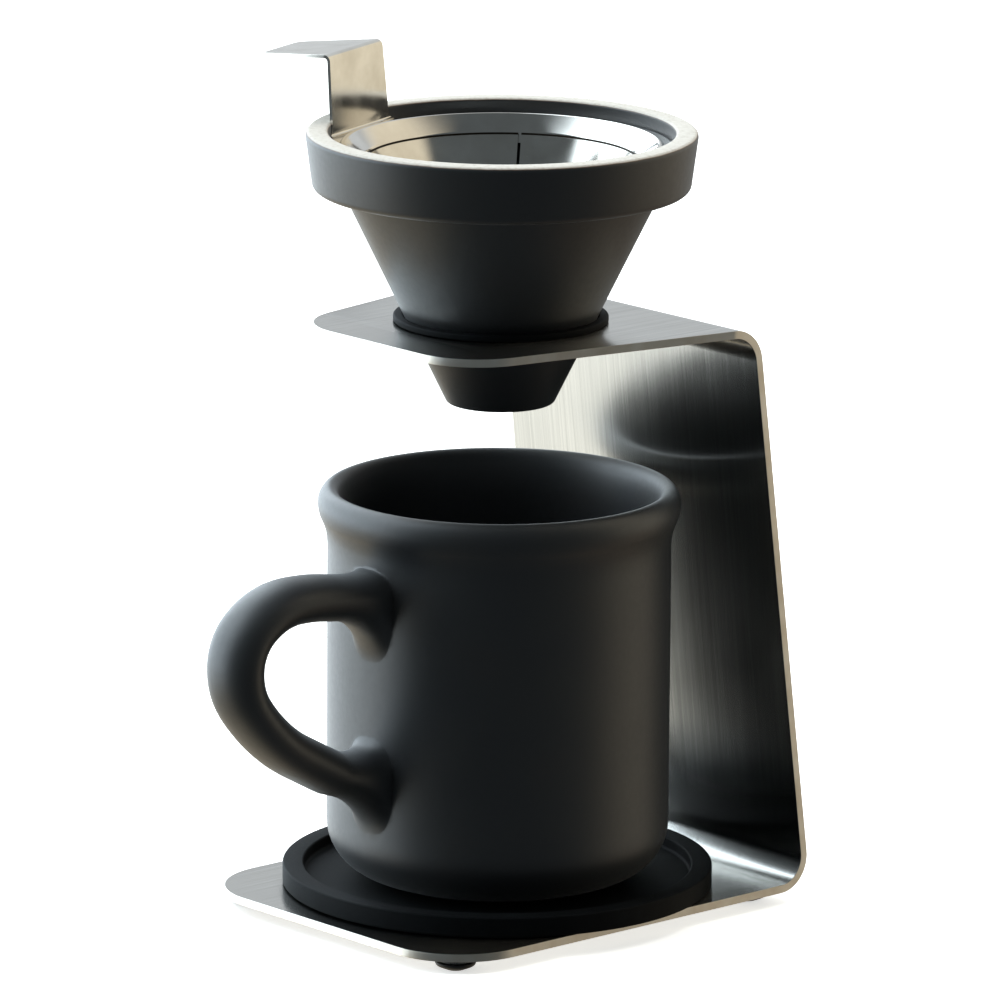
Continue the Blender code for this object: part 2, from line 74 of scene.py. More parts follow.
STAND_LOW, STAND_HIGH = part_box("stand_frame")
DRIPPER_LOW, DRIPPER_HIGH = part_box("dripper")
MUG_LOW, MUG_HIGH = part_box("mug")
MAT_LOW, MAT_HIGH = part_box("mug_mat")
RING_LOW, RING_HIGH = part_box("seat_ring")
RIM_LOW, RIM_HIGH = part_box("filter_rim")
FUNNEL_LOW, FUNNEL_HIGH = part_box("filter_funnel")
SCREEN_LOW, SCREEN_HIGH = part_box("filter_screen_outer")
INNER_LOW, INNER_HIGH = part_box("filter_screen_inner")
CUP_LOW, CUP_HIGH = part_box("filter_base")
TAB_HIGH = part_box("filter_tab")[1]

AXIS = Vector(((DRIPPER_LOW.x + DRIPPER_HIGH.x) / 2, (DRIPPER_LOW.y + DRIPPER_HIGH.y) / 2, 0))

# Stand: one bent sheet, seen from the side as base, leaning back panel and shelf.
SHEET = 2.0 * MM
BASE_TOP = STAND_LOW.z + SHEET
SHELF_TOP = STAND_HIGH.z
BASE_FRONT = STAND_LOW.y - AXIS.y
BASE_HALF_WIDTH = radius_of(STAND_LOW, STAND_HIGH)
SHELF_FRONT = -40.1 * MM
PANEL_LEAN = math.radians(6.91)
BASE_BEND = 8.4 * MM  # outer radius
SHELF_BEND = 9.1 * MM
PANEL_HEAD_HALF_WIDTH = 45.9 * MM
SHELF_FRONT_HALF_WIDTH = 31.1 * MM  # where the tapered sides would meet the front edge
BASE_CORNER = 20.0 * MM
SHELF_CORNER = 17.5 * MM
SHELF_HOLE = 24.9 * MM
EDGE_BREAK = 0.22 * MM  # the deburred edge of the sheet
BEND_MARGIN = 0.4 * MM  # a narrow row beside each bend keeps the flat faces flat in their shading
BEND_STEPS = 14

# Dripper: a cone with a thick collar.
CONE_SLOPE = 0.488
CONE_AT_SHELF = 22.9 * MM
DRIPPER_TOP = DRIPPER_HIGH.z
DRIPPER_BOTTOM = DRIPPER_LOW.z
COLLAR_RADIUS = radius_of(DRIPPER_LOW, DRIPPER_HIGH)
COLLAR_LOWER_RADIUS = COLLAR_RADIUS - 1.9 * MM
COLLAR_HEIGHT = 14.3 * MM
DRIPPER_BORE = 42.0 * MM
DRIPPER_WALL = 5.0 * MM
DRIPPER_LEDGE = DRIPPER_TOP - 4.6 * MM
OUTLET_RADIUS = 8.8 * MM

# Filter.
STEEL = 0.6 * MM
FLANGE_RADIUS = radius_of(RIM_LOW, RIM_HIGH)
RIDGE_RADIUS = 38.4 * MM
RIDGE_TOP = RIM_HIGH.z
FLANGE_TOP = RIDGE_TOP - 1.2 * MM
SEAM_TOP = FUNNEL_HIGH.z
SEAM_RADIUS = radius_of(FUNNEL_LOW, FUNNEL_HIGH)
FILTER_SLOPE = 0.485
SCREEN_TOP_RADIUS = radius_of(SCREEN_LOW, SCREEN_HIGH) - STEEL / 2
SEAM_DIRECTION = math.radians(130.7)  # the funnel's upright joint
JOINT_WIDTH = 0.8 * MM
TAB_DIRECTION = math.radians(199)
TAB_SHEET = 0.8 * MM
TAB_EDGE_BREAK = 0.18 * MM
WELD = 0.01 * MM  # points of the perforated sheet closer than this are one

# Mug.
MUG_TOP = MUG_HIGH.z
MUG_BOTTOM = MUG_LOW.z
MUG_RADIUS = 42.0 * MM
MUG_INSIDE = 38.0 * MM
HANDLE_THICK = 11.3 * MM
HANDLE_WIDE = 16.8 * MM
HANDLE_REACH = AXIS.y - MUG_LOW.y - HANDLE_THICK / 2
HANDLE_FILLET = 12.0 * MM
HANDLE_STEPS = 40
LIP_DEPTH = 18 * MM  # how far down from the top the rolled lip reaches

# Mat and ring.
MAT_RADIUS = radius_of(MAT_LOW, MAT_HIGH)
MAT_INNER = 47.7 * MM
MAT_FLOOR = MAT_LOW.z + 2.0 * MM
RING_RADIUS = 26.2 * MM

ROUND_STEPS = 160
SMALL_STEPS = 64

# Faces that meet at more than these degrees show an edge.
TURNED_EDGE = 50
GLAZED_EDGE = 60
SCREEN_EDGE = 30
SHEET_EDGE = 20  # keeps the bevels apart from the flat faces of bent sheet


# ---- colours and nodes ----

def linear(hex_colour):
    """The linear RGBA of an sRGB hex colour."""
    channels = []
    for start in (1, 3, 5):
        value = int(hex_colour[start:start + 2], 16) / 255
        channels.append(value / 12.92 if value <= 0.04045 else ((value + 0.055) / 1.055) ** 2.4)
    return (*channels, 1.0)


def light_of(hex_colour, strength):
    """The linear RGB of a light of that colour and strength."""
    return tuple(channel * strength for channel in linear(hex_colour)[:3])


def per(*sizes):
    """Pattern scales for features of these sizes in metres."""
    return tuple(1 / size for size in sizes)


def fill(node, inputs):
    """Sets a node's inputs: each gets a value, or a link from a socket or from the first output in use
    of a node, or several links from a list."""
    for key, value in inputs.items():
        for source in value if isinstance(value, list) else [value]:
            if isinstance(source, bpy.types.Node):
                source = next(socket for socket in source.outputs if socket.enabled)
            if isinstance(source, bpy.types.NodeSocket):
                node.id_data.links.new(source, node.inputs[key])
            else:
                node.inputs[key].default_value = source


def add(tree, kind, inputs=None, stops=(), **settings):
    """Adds a node with its settings, its inputs and, for a ramp, its stops of (place, hex colour). The
    kind of a shader node is its name without the word ShaderNode."""
    shader_kind = "ShaderNode" + kind
    node = tree.nodes.new(shader_kind if hasattr(bpy.types, shader_kind) else kind)
    for name, value in settings.items():
        setattr(node, name, value)
    fill(node, inputs or {})
    if stops:
        elements = node.color_ramp.elements
        while len(elements) < len(stops):
            elements.new(1.0)
        for element, (place, hex_colour) in zip(elements, stops):
            element.position = place
            element.color = linear(hex_colour)
    return node


def new_material(name):
    """A new material, its node tree, the shader of its surface and the coordinates for its patterns."""
    material = bpy.data.materials.new(name)
    material.use_nodes = True
    tree = material.node_tree
    tree.nodes.clear()
    shader = add(tree, "BsdfPrincipled")
    add(tree, "OutputMaterial", {"Surface": shader})
    return material, tree, shader, add(tree, "TexCoord").outputs


def dress(shader, tone, rough, relief, values):
    """Fills in a shader from patterns. Tone is a pattern and the stops of its ramp, rough is a pattern
    with the roughness at both its ends, and relief is a pattern, its depth and its strength."""
    tree = shader.id_data
    pattern, *stops = tone
    colour = add(tree, "ValToRGB", {"Fac": pattern}, stops)
    pattern, first, last = rough
    roughness = add(tree, "MapRange", {"Value": pattern, "To Min": first, "To Max": last})
    pattern, depth, strength = relief
    bump = add(tree, "Bump", {"Height": pattern, "Distance": depth, "Strength": strength})
    fill(shader, {"Base Color": colour, "Roughness": roughness, "Normal": bump, **values})


# ---- materials ----

def brushed_stainless():
    """304 stainless sheet with a belt-brushed grain along its length: long fine scratches that stretch
    every reflection across the grain, with faint cloudy patches from handling."""
    material, tree, shader, places = new_material("belt_brushed_stainless_sheet")
    uv = places["UV"]
    grains = []
    # Scratches are about 0.1 mm wide on the real sheet; 0.3 mm is what still shows.
    for width, length, detail, roughness in ((0.3, 60, 3.0, 0.7), (1.0, 110, 2.0, 0.6)):
        drawn = add(tree, "Mapping", {"Vector": uv, "Scale": per(width * MM, length * MM, MM)})
        values = {"Vector": drawn, "Scale": 1.0, "Detail": detail, "Roughness": roughness}
        grains.append(add(tree, "TexNoise", values))
    scratches, bands = grains
    cloud = add(tree, "TexNoise", {"Vector": uv, "Scale": 1 / (26 * MM), "Detail": 2.0})
    half = add(tree, "Mix", {"Factor": 0.45, 2: scratches, 3: bands})
    stops = ((0.30, "#B3B2AE"), (0.5, "#C6C5C1"), (0.72, "#D5D4D0"))
    tone = add(tree, "ValToRGB", {"Fac": half}, stops)
    worn = add(tree, "Math", {0: half, 1: cloud}, operation="ADD")
    spread = {"From Min": 0.6, "From Max": 1.4, "To Min": 0.17, "To Max": 0.27}
    rough = add(tree, "MapRange", {"Value": worn, **spread})
    cut = add(tree, "Bump", {"Height": scratches, "Distance": 0.002 * MM, "Strength": 0.4})
    along = add(tree, "Tangent", direction_type="UV_MAP", uv_map="UVMap")
    fill(shader, {"Metallic": 1.0, "Anisotropic": 0.8, "Base Color": tone, "Roughness": rough})
    fill(shader, {"Normal": cut, "Tangent": along})
    return material


def laser_cut_edge():
    """The sheet's cut edge: fine upright striations left by the laser, slightly warm from its heat."""
    material, tree, shader, places = new_material("laser_cut_stainless_edge")
    where = places["Object"]
    upright = add(tree, "Mapping", {"Vector": where, "Scale": per(0.35 * MM, 0.35 * MM, 3 * MM)})
    striations = add(tree, "TexNoise", {"Vector": upright, "Scale": 1.0, "Detail": 2.0})
    patches = add(tree, "TexNoise", {"Vector": where, "Scale": 1 / (7 * MM), "Detail": 2.0})
    dress(
        shader,
        tone=(patches, (0.3, "#CFC6B8"), (0.55, "#DAD4C9"), (0.75, "#E2DED6")),
        rough=(striations, 0.28, 0.5),
        relief=(striations, 0.012 * MM, 0.6),
        values={"Metallic": 1.0},
    )
    return material


def satin_glaze(name, rim_height=None):
    """Stoneware under a satin black glaze: a soft broad highlight, a faint orange-peel skin and tiny
    pinholes. Above rim_height the clay is left bare where the piece was fired upside down."""
    material, tree, shader, places = new_material(name)
    where = places["Object"]
    skin = add(tree, "TexNoise", {"Vector": where, "Scale": 1 / (1.4 * MM), "Detail": 3.0})
    wave = add(tree, "TexNoise", {"Vector": where, "Scale": 1 / (16 * MM), "Detail": 1.0})
    pores = add(tree, "TexVoronoi", {"Vector": where, "Scale": 1 / (2.4 * MM)})
    pits = add(tree, "MapRange", {"Value": pores, "From Min": 0.05, "From Max": 0.12})
    stops = ((0.35, "#1A1C1F"), (0.55, "#1D1F20"), (0.75, "#201F1F"))
    tone = add(tree, "ValToRGB", {"Fac": wave}, stops)
    rough = add(tree, "MapRange", {"Value": skin, "To Min": 0.41, "To Max": 0.53})
    if rim_height is not None:
        tone, rough = bare_rim(tree, where, tone, rough, rim_height)
    relief = {}
    for pattern, depth, strength in ((wave, 0.25, 0.35), (skin, 0.03, 0.5), (pits, 0.01, 0.25)):
        values = {"Height": pattern, "Distance": depth * MM, "Strength": strength, **relief}
        relief = {"Normal": add(tree, "Bump", values)}
    fill(shader, {"Base Color": tone, "Roughness": rough, **relief})
    fill(shader, {"IOR": 1.58, "Specular IOR Level": 0.62, "Sheen Weight": 0.12, "Sheen Roughness": 0.45})
    return material


def bare_rim(tree, where, tone, rough, rim_height):
    """Bare cream clay above a height, with a thin brown line where the glaze thins out."""
    height = add(tree, "SeparateXYZ", {"Vector": where}).outputs["Z"]
    drips = add(tree, "TexNoise", {"Vector": where, "Scale": 1 / (5 * MM), "Detail": 3.0})
    wander = add(tree, "MapRange", {"Value": drips, "To Min": -0.12 * MM, "To Max": 0.12 * MM})
    uneven = add(tree, "Math", {0: height, 1: wander}, operation="ADD")
    low, high = rim_height - 0.25 * MM, rim_height + 0.1 * MM
    bare = add(tree, "MapRange", {"Value": uneven, "From Min": low, "From Max": high})
    speck = add(tree, "TexNoise", {"Vector": where, "Scale": 1 / (0.9 * MM), "Detail": 3.0})
    clay_stops = ((0.28, "#A39C90"), (0.42, "#B2ADA3"), (0.7, "#BCB8AF"))
    clay = add(tree, "ValToRGB", {"Fac": speck}, clay_stops)
    line_stops = ((0.0, "#1E1D1D"), (0.45, "#5A4130"), (0.8, "#AEA89B"))
    line = add(tree, "ValToRGB", {"Fac": bare}, line_stops)
    edge = add(tree, "MapRange", {"Value": bare, "From Min": 0.7, "From Max": 1.0})
    blend = add(tree, "Mix", {"Factor": edge, 6: line, 7: clay}, data_type="RGBA")
    glazed = add(tree, "MapRange", {"Value": bare, "From Min": 0.0, "From Max": 0.15})
    colour = add(tree, "Mix", {"Factor": glazed, 6: tone, 7: blend}, data_type="RGBA")
    dry = add(tree, "Mix", {"Factor": bare, 2: rough, 3: 0.7})
    return colour, dry


def moulded_silicone():
    """Compression-moulded silicone: a dry, very dark blue-black skin with the mould's fine blasted grain,
    and a little dust that lightens it in patches."""
    material, tree, shader, places = new_material("moulded_black_silicone")
    where = places["Object"]
    blast = add(tree, "TexNoise", {"Vector": where, "Scale": 1 / (0.35 * MM), "Detail": 2.0})
    patches = {"Vector": where, "Scale": 1 / (9 * MM), "Detail": 4.0, "Roughness": 0.65}
    dust = add(tree, "TexNoise", patches)
    dress(
        shader,
        tone=(dust, (0.35, "#07090B"), (0.6, "#0B0E10"), (0.8, "#13171A")),
        rough=(blast, 0.6, 0.78),
        relief=(blast, 0.02 * MM, 0.5),
        values={"IOR": 1.4, "Specular IOR Level": 0.15},
    )
    return material


def moulded_rubber():
    """Moulded rubber bumper: black, dull and slightly scuffed where it stands."""
    material, tree, shader, places = new_material("moulded_black_rubber")
    where = places["Object"]
    grit = add(tree, "TexNoise", {"Vector": where, "Scale": 1 / (0.4 * MM), "Detail": 3.0})
    patches = {"Vector": where, "Scale": 1 / (2.5 * MM), "Detail": 4.0, "Roughness": 0.7}
    scuff = add(tree, "TexNoise", patches)
    dress(
        shader,
        tone=(scuff, (0.4, "#0E0E0F"), (0.62, "#151516"), (0.8, "#262628")),
        rough=(grit, 0.42, 0.6),
        relief=(grit, 0.02 * MM, 0.5),
        values={"IOR": 1.5},
    )
    return material


def foam_adhesive():
    """The grey foam tape under each foot: dull, with a cut open-cell edge."""
    material, tree, shader, places = new_material("grey_foam_adhesive_tape")
    where = places["Object"]
    cells = add(tree, "TexVoronoi", {"Vector": where, "Scale": 1 / (0.3 * MM)})
    dress(
        shader,
        tone=(cells, (0.1, "#4A4A49"), (0.6, "#7C7B78")),
        rough=(cells, 0.75, 0.95),
        relief=(cells, 0.03 * MM, 0.6),
        values={"IOR": 1.45},
    )
    return material


def spun_steel():
    """Pressed and spun stainless, buffed bright: mirror reflections drawn out by faint turning lines
    round the cup axis, and soft smears from handling."""
    material, tree, shader, places = new_material("spun_polished_stainless")
    where = places["Object"]
    centred = add(tree, "Mapping", {"Vector": where, "Location": (-AXIS.x, -AXIS.y, 0)})
    parts = add(tree, "SeparateXYZ", {"Vector": centred}).outputs
    level = add(tree, "CombineXYZ", {"X": parts["X"], "Y": parts["Y"]})
    radius = add(tree, "VectorMath", {0: level}, operation="LENGTH")
    ring = add(tree, "CombineXYZ", {"X": radius, "Y": parts["Z"]})
    # Turning lines are finer than this on the real rim; 0.25 mm is what still shows.
    lines = add(tree, "TexNoise", {"Vector": ring, "Scale": 1 / (0.25 * MM), "Detail": 2.0})
    smear = add(tree, "TexNoise", {"Vector": where, "Scale": 1 / (9 * MM), "Detail": 3.0})
    dress(
        shader,
        tone=(smear, (0.3, "#CFCBC4"), (0.7, "#DEDBD5")),
        rough=(smear, 0.06, 0.17),
        relief=(lines, 0.0012 * MM, 0.35),
        values={"Metallic": 1.0},
    )
    return material


def buffed_sheet(name, seam_shade_height=None):
    """Bright-rolled stainless sheet, buffed along its length: near-mirror with hairline scratches. Above
    the seam height a thin dull near-black band is painted: painted shade standing for the gap in the joint."""
    material, tree, shader, places = new_material(name)
    scale = per(0.5 * MM, 20 * MM, MM)
    drawn = add(tree, "Mapping", {"Vector": places["UV"], "Scale": scale})
    values = {"Vector": drawn, "Scale": 1.0, "Detail": 3.0, "Roughness": 0.7}
    hairlines = add(tree, "TexNoise", values)
    values = {"Vector": places["Object"], "Scale": 1 / (7 * MM), "Detail": 3.0}
    smear = add(tree, "TexNoise", values)
    tone = add(tree, "ValToRGB", {"Fac": smear}, ((0.3, "#CDC9C1"), (0.7, "#DEDBD4")))
    rough = add(tree, "MapRange", {"Value": smear, "To Min": 0.07, "To Max": 0.2})
    # Painted shade: a thin dark, dull band at the top edge stands for the shade in the gap at the joint.
    if seam_shade_height is not None:
        height = add(tree, "SeparateXYZ", {"Vector": places["Object"]}).outputs["Z"]
        limits = {"From Min": seam_shade_height - 0.05 * MM, "From Max": seam_shade_height + 0.05 * MM}
        line = add(tree, "MapRange", {"Value": height, **limits})
        seam_shade_colour = linear("#2B2620")
        tone = add(tree, "Mix", {"Factor": line, 6: tone, 7: seam_shade_colour}, data_type="RGBA")
        rough = add(tree, "Mix", {"Factor": line, 2: rough, 3: 0.6})
    scratched = add(tree, "Bump", {"Height": hairlines, "Distance": 0.0015 * MM, "Strength": 0.4})
    fill(shader, {"Metallic": 1.0, "Base Color": tone, "Roughness": rough, "Normal": scratched})
    return material


def etched_screen():
    """Etched stainless screen: satin webs between the holes, a little darker from coffee oils."""
    material, tree, shader, places = new_material("etched_stainless_screen")
    where = places["Object"]
    etch = add(tree, "TexNoise", {"Vector": where, "Scale": 1 / (0.4 * MM), "Detail": 3.0})
    oils = add(tree, "TexNoise", {"Vector": where, "Scale": 1 / (8 * MM), "Detail": 4.0})
    dress(
        shader,
        tone=(oils, (0.3, "#A39D90"), (0.5, "#BDB9B0"), (0.75, "#C9C6BF")),
        rough=(etch, 0.24, 0.42),
        relief=(etch, 0.006 * MM, 0.5),
        values={"Metallic": 1.0},
    )
    return material


def woven_cloth():
    """Fine woven steel cloth: two sets of crossing wires, with the gaps between them painted near-black as
    painted shade for the open weave. The real cloth is about four wires to the millimetre; it is drawn at
    half a millimetre so that it shows."""
    material, tree, shader, places = new_material("woven_stainless_cloth_with_painted_gap_shade")
    uv = add(tree, "SeparateXYZ", {"Vector": places["UV"]}).outputs
    per_wire = math.pi / (0.5 * MM)
    wires = []
    for direction in ("X", "Y"):
        turn = add(tree, "Math", {0: uv[direction], 1: per_wire}, operation="MULTIPLY")
        wave = add(tree, "Math", {0: turn}, operation="SINE")
        wires.append(add(tree, "Math", {0: wave}, operation="ABSOLUTE"))
    cloth = add(tree, "Math", {0: wires[0], 1: wires[1]}, operation="MAXIMUM")
    # The darkest stop is painted shade: the gaps between the wires are coloured as the shade seen through
    # the open weave.
    dress(
        shader,
        tone=(cloth, (0.45, "#1B1916"), (0.72, "#8E8A82"), (0.95, "#CBC8C1")),
        rough=(cloth, 0.7, 0.28),
        relief=(cloth, 0.12 * MM, 0.7),
        values={"Metallic": 1.0},
    )
    return material


# ---- outlines ----

def rounded(corners, steps=6):
    """A path through (radius, height, rounding) corners, with an arc of that rounding at each corner that
    has one."""
    path = []
    for index, (x, y, rounding) in enumerate(corners):
        corner = Vector((x, y))
        if rounding <= 0 or index in (0, len(corners) - 1):
            path.append(corner)
            continue
        inward = (Vector(corners[index - 1][:2]) - corner).normalized()
        outward = (Vector(corners[index + 1][:2]) - corner).normalized()
        half = inward.angle(outward) / 2
        centre = corner + (inward + outward).normalized() * rounding / math.sin(half)
        start = corner + inward * rounding / math.tan(half) - centre
        end = corner + outward * rounding / math.tan(half) - centre
        turn = start.angle_signed(end)
        for step in range(steps + 1):
            path.append(centre + Matrix.Rotation(-turn * step / steps, 2) @ start)
    return path


def rounded_loop(corners, steps=6):
    """The same for a closed outline."""
    wrapped = [corners[-1], *corners, corners[0]]
    return rounded(wrapped, steps)[1:-1]


def smooth(points, steps):
    """A Catmull-Rom curve through the points."""
    points = [Vector(point) for point in points]
    ends = [2 * points[0] - points[1], *points, 2 * points[-1] - points[-2]]
    path = []
    for before, start, end, after in zip(ends, ends[1:], ends[2:], ends[3:]):
        slope = end - before
        bend = 2 * before - 5 * start + 4 * end - after
        twist = 3 * start - before - 3 * end + after
        for step in range(steps):
            t = step / steps
            path.append(0.5 * (2 * start + slope * t + bend * t * t + twist * t ** 3))
    path.append(points[-1])
    return path


def lengths_along(path):
    """The distance along the path to each of its points."""
    lengths = [0.0]
    for first, second in zip(path, path[1:]):
        lengths.append(lengths[-1] + (second - first).length)
    return lengths


def place_at(path, lengths, distance):
    """The point at a distance along the path."""
    index = 1
    while index < len(path) - 1 and lengths[index] < distance:
        index += 1
    share = (distance - lengths[index - 1]) / (lengths[index] - lengths[index - 1])
    return path[index - 1].lerp(path[index], share)


def sheet_outline(path, thickness):
    """The closed outline of a thin sheet that follows a path, half its thickness on each side."""
    sides = []
    for index, point in enumerate(path):
        ahead = path[min(index + 1, len(path) - 1)]
        behind = path[max(index - 1, 0)]
        along = (ahead - behind).normalized()
        sides.append(Vector((along.y, -along.x)) * thickness / 2)
    one = [point + side for point, side in zip(path, sides)]
    other = [point - side for point, side in zip(path, sides)]
    return one + list(reversed(other))


# ---- meshes ----

def turned(name, outline, steps=ROUND_STEPS, closed=True, start=0.0, sweep=math.tau):
    """A (radius, height) outline turned about the cup axis. An open outline starts and ends on the axis.
    The UV map runs round the piece at its widest radius, and along the outline."""
    shape = bmesh.new()
    whole = sweep >= math.tau
    count = steps if whole else steps + 1
    angles = [start + sweep * step / steps for step in range(count)]
    rings = []
    for radius, height in outline:
        spokes = angles if radius > 0 else [0.0]
        places = [(radius * math.cos(angle), radius * math.sin(angle), height) for angle in spokes]
        rings.append([shape.verts.new(AXIS + Vector(place)) for place in places])
    map_layer = shape.loops.layers.uv.new("UVMap")
    widest = max(radius for radius, height in outline)
    lengths = lengths_along([Vector(point) for point in outline])
    pairs = list(zip(range(len(rings)), range(1, len(rings))))
    if closed:
        pairs.append((len(rings) - 1, 0))
    for first, second in pairs:
        for step in range(steps):
            corners = {}
            for index, turn in ((first, step), (second, step), (second, step + 1), (first, step + 1)):
                ring = rings[index]
                vertex = ring[turn % count % len(ring)]
                corners.setdefault(vertex, (sweep * turn / steps * widest, lengths[index]))
            if len(corners) < 3:
                continue
            face = shape.faces.new(corners)
            for loop, place in zip(face.loops, corners.values()):
                loop[map_layer].uv = place
    if not whole:
        shape.faces.new([ring[0] for ring in rings])
        shape.faces.new([ring[-1] for ring in reversed(rings)])
    return outward_mesh(name, shape)


def to_mesh(name, shape):
    """The shape as a mesh, just as it is."""
    mesh = bpy.data.meshes.new(name)
    shape.to_mesh(mesh)
    shape.free()
    return mesh


def outward_mesh(name, shape):
    """The shape as a mesh whose faces point outwards."""
    bmesh.ops.recalc_face_normals(shape, faces=shape.faces)
    if shape.calc_volume(signed=True) < 0:
        bmesh.ops.reverse_faces(shape, faces=shape.faces)
    return to_mesh(name, shape)


def new_object(name, mesh, materials=()):
    """A new object in the scene, with its materials."""
    for material in materials:
        mesh.materials.append(material)
    piece = bpy.data.objects.new(name, mesh)
    bpy.context.scene.collection.objects.link(piece)
    return piece


def bake(piece, sharp):
    """Turns the piece's modifiers into plain mesh and shades it smooth between its sharp edges."""
    bpy.context.view_layer.update()
    graph = bpy.context.evaluated_depsgraph_get()
    mesh = bpy.data.meshes.new_from_object(piece.evaluated_get(graph))
    piece.modifiers.clear()
    piece.data = mesh
    mesh.shade_smooth()
    mesh.set_sharp_from_angle(angle=math.radians(sharp))
    return piece


def hand_over(piece, body, slot, *nodes):
    """The finished piece rides on its body and stands for its CAD nodes, which it hides. The name of its
    finish is not used.
    """
    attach(piece, body)
    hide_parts(*nodes)
    return piece


def turned_piece(name, outline, material, sharp=TURNED_EDGE, **turning):
    """A turned mesh in one material, shaded and ready to hand over."""
    return bake(new_object(name, turned(name, outline, **turning), (material,)), sharp)


def bent_sheet(name, rows, across, thickness, materials):
    """Sheet bent along its length, from (distance, half width, middle) rows that lie across it. Its UV
    map is the flat sheet. Its edges take the last material."""
    shape = bmesh.new()
    map_layer = shape.loops.layers.uv.new("UVMap")
    sides = []
    for distance, wide, middle in rows:
        left, right = (shape.verts.new(middle + across * side) for side in (-wide, wide))
        sides.append(((left, right), ((-wide, distance), (wide, distance))))
    for (near, near_places), (far, far_places) in zip(sides, sides[1:]):
        face = shape.faces.new((*near, *reversed(far)))
        for loop, place in zip(face.loops, (*near_places, *reversed(far_places))):
            loop[map_layer].uv = place
    sheet = new_object(name, to_mesh(name, shape), materials)
    solid = sheet.modifiers.new("sheet", "SOLIDIFY")
    solid.thickness = thickness
    solid.offset = 0
    solid.use_even_offset = True
    solid.material_offset_rim = len(materials) - 1
    return sheet


def combine(piece, tool, operation):
    """Joins the tool to the piece, or cuts it away."""
    joint = piece.modifiers.new(tool.name, "BOOLEAN")
    joint.operation = operation
    joint.solver = "EXACT"
    joint.object = tool


def deburr(piece, width):
    """Breaks the sharp edges of cut sheet."""
    softened = piece.modifiers.new("deburred", "BEVEL")
    softened.width = width
    softened.segments = 2
    softened.limit_method = "ANGLE"
    softened.angle_limit = math.radians(50)


def cone_radius(height):
    """Outer radius of the dripper's cone."""
    return CONE_AT_SHELF + CONE_SLOPE * (height - SHELF_TOP)


def funnel_radius(height):
    """Outer radius of the filter's plain funnel, carried on below it."""
    return SEAM_RADIUS - FILTER_SLOPE * (SEAM_TOP - height)


# ---- stand ----

def stand_path():
    """The side view of the sheet's mid surface, from the base's front edge to the shelf's front edge."""
    lean = math.tan(PANEL_LEAN)
    rear = STAND_HIGH.y - AXIS.y
    bend_z = STAND_LOW.z + BASE_BEND
    foot = rear - BASE_BEND + (bend_z - BASE_TOP) * lean + BASE_BEND / math.cos(PANEL_LEAN)

    def panel_y(z):
        return foot - (z - BASE_TOP) * lean - SHEET / 2 / math.cos(PANEL_LEAN)

    base_z = BASE_TOP - SHEET / 2
    shelf_z = SHELF_TOP - SHEET / 2
    corners = [
        (BASE_FRONT, base_z, 0),
        (panel_y(base_z), base_z, BASE_BEND - SHEET / 2),
        (panel_y(shelf_z), shelf_z, SHELF_BEND - SHEET / 2),
        (SHELF_FRONT, shelf_z, 0),
    ]
    return rounded(corners, BEND_STEPS)


def corner_rows(half_width, taper, radius):
    """(distance from the end, half width) through a rounded corner whose side tapers towards the end."""
    lean = math.atan(taper)
    middle = half_width - radius / math.cos(lean)
    rows = []
    for step in range(BEND_STEPS + 1):
        angle = lean + (math.pi / 2 - lean) * step / BEND_STEPS
        rows.append((radius - radius * math.sin(angle), middle + radius * math.cos(angle)))
    return rows


def stand_rows():
    """(distance, half width, middle) rows across the stand's sheet, from the front of the base."""
    path = stand_path()
    lengths = lengths_along(path)
    total = lengths[-1]
    panel_start = lengths[1]
    shelf_start = lengths[-2]
    taper = (PANEL_HEAD_HALF_WIDTH - SHELF_FRONT_HALF_WIDTH) / (total - shelf_start)

    def half_width(distance):
        if distance <= panel_start:
            return BASE_HALF_WIDTH
        if distance <= shelf_start:
            share = (distance - panel_start) / (shelf_start - panel_start)
            return BASE_HALF_WIDTH + (PANEL_HEAD_HALF_WIDTH - BASE_HALF_WIDTH) * share
        return PANEL_HEAD_HALF_WIDTH - taper * (distance - shelf_start)

    spans = list(reversed(corner_rows(BASE_HALF_WIDTH, 0, BASE_CORNER)))
    bends = lengths[1:-1]
    half = len(bends) // 2
    for bend in (bends[:half], bends[half:]):
        for distance in (bend[0] - BEND_MARGIN, *bend, bend[-1] + BEND_MARGIN):
            spans.append((distance, half_width(distance)))
    shelf_corner = corner_rows(half_width(total - SHELF_CORNER), taper, SHELF_CORNER)
    spans += [(total - away, wide) for away, wide in shelf_corner]
    rows = []
    for distance, wide in spans:
        place = place_at(path, lengths, distance)
        rows.append((distance, wide, AXIS + Vector((0, place.x, place.y))))
    return rows


def make_stand(steel, edge):
    """The bent sheet, with the seat's hole in its shelf. What was cut shows the cut edge."""
    finishes = (steel, edge)
    sheet = bent_sheet("stand_sheet", stand_rows(), Vector((1, 0, 0)), SHEET, finishes)
    above = SHELF_TOP + SHEET
    below = SHELF_TOP - 2 * SHEET
    plug = [(0, above), (SHELF_HOLE, above), (SHELF_HOLE, below), (0, below)]
    cutter = new_object("shelf_hole", turned("shelf_hole", plug, closed=False), finishes)
    for face in cutter.data.polygons:
        face.material_index = finishes.index(edge)
    combine(sheet, cutter, "DIFFERENCE")
    deburr(sheet, EDGE_BREAK)
    bake(sheet, SHEET_EDGE)
    bpy.data.objects.remove(cutter, do_unlink=True)
    hand_over(sheet, "stand", "brushed_steel", "stand_frame")


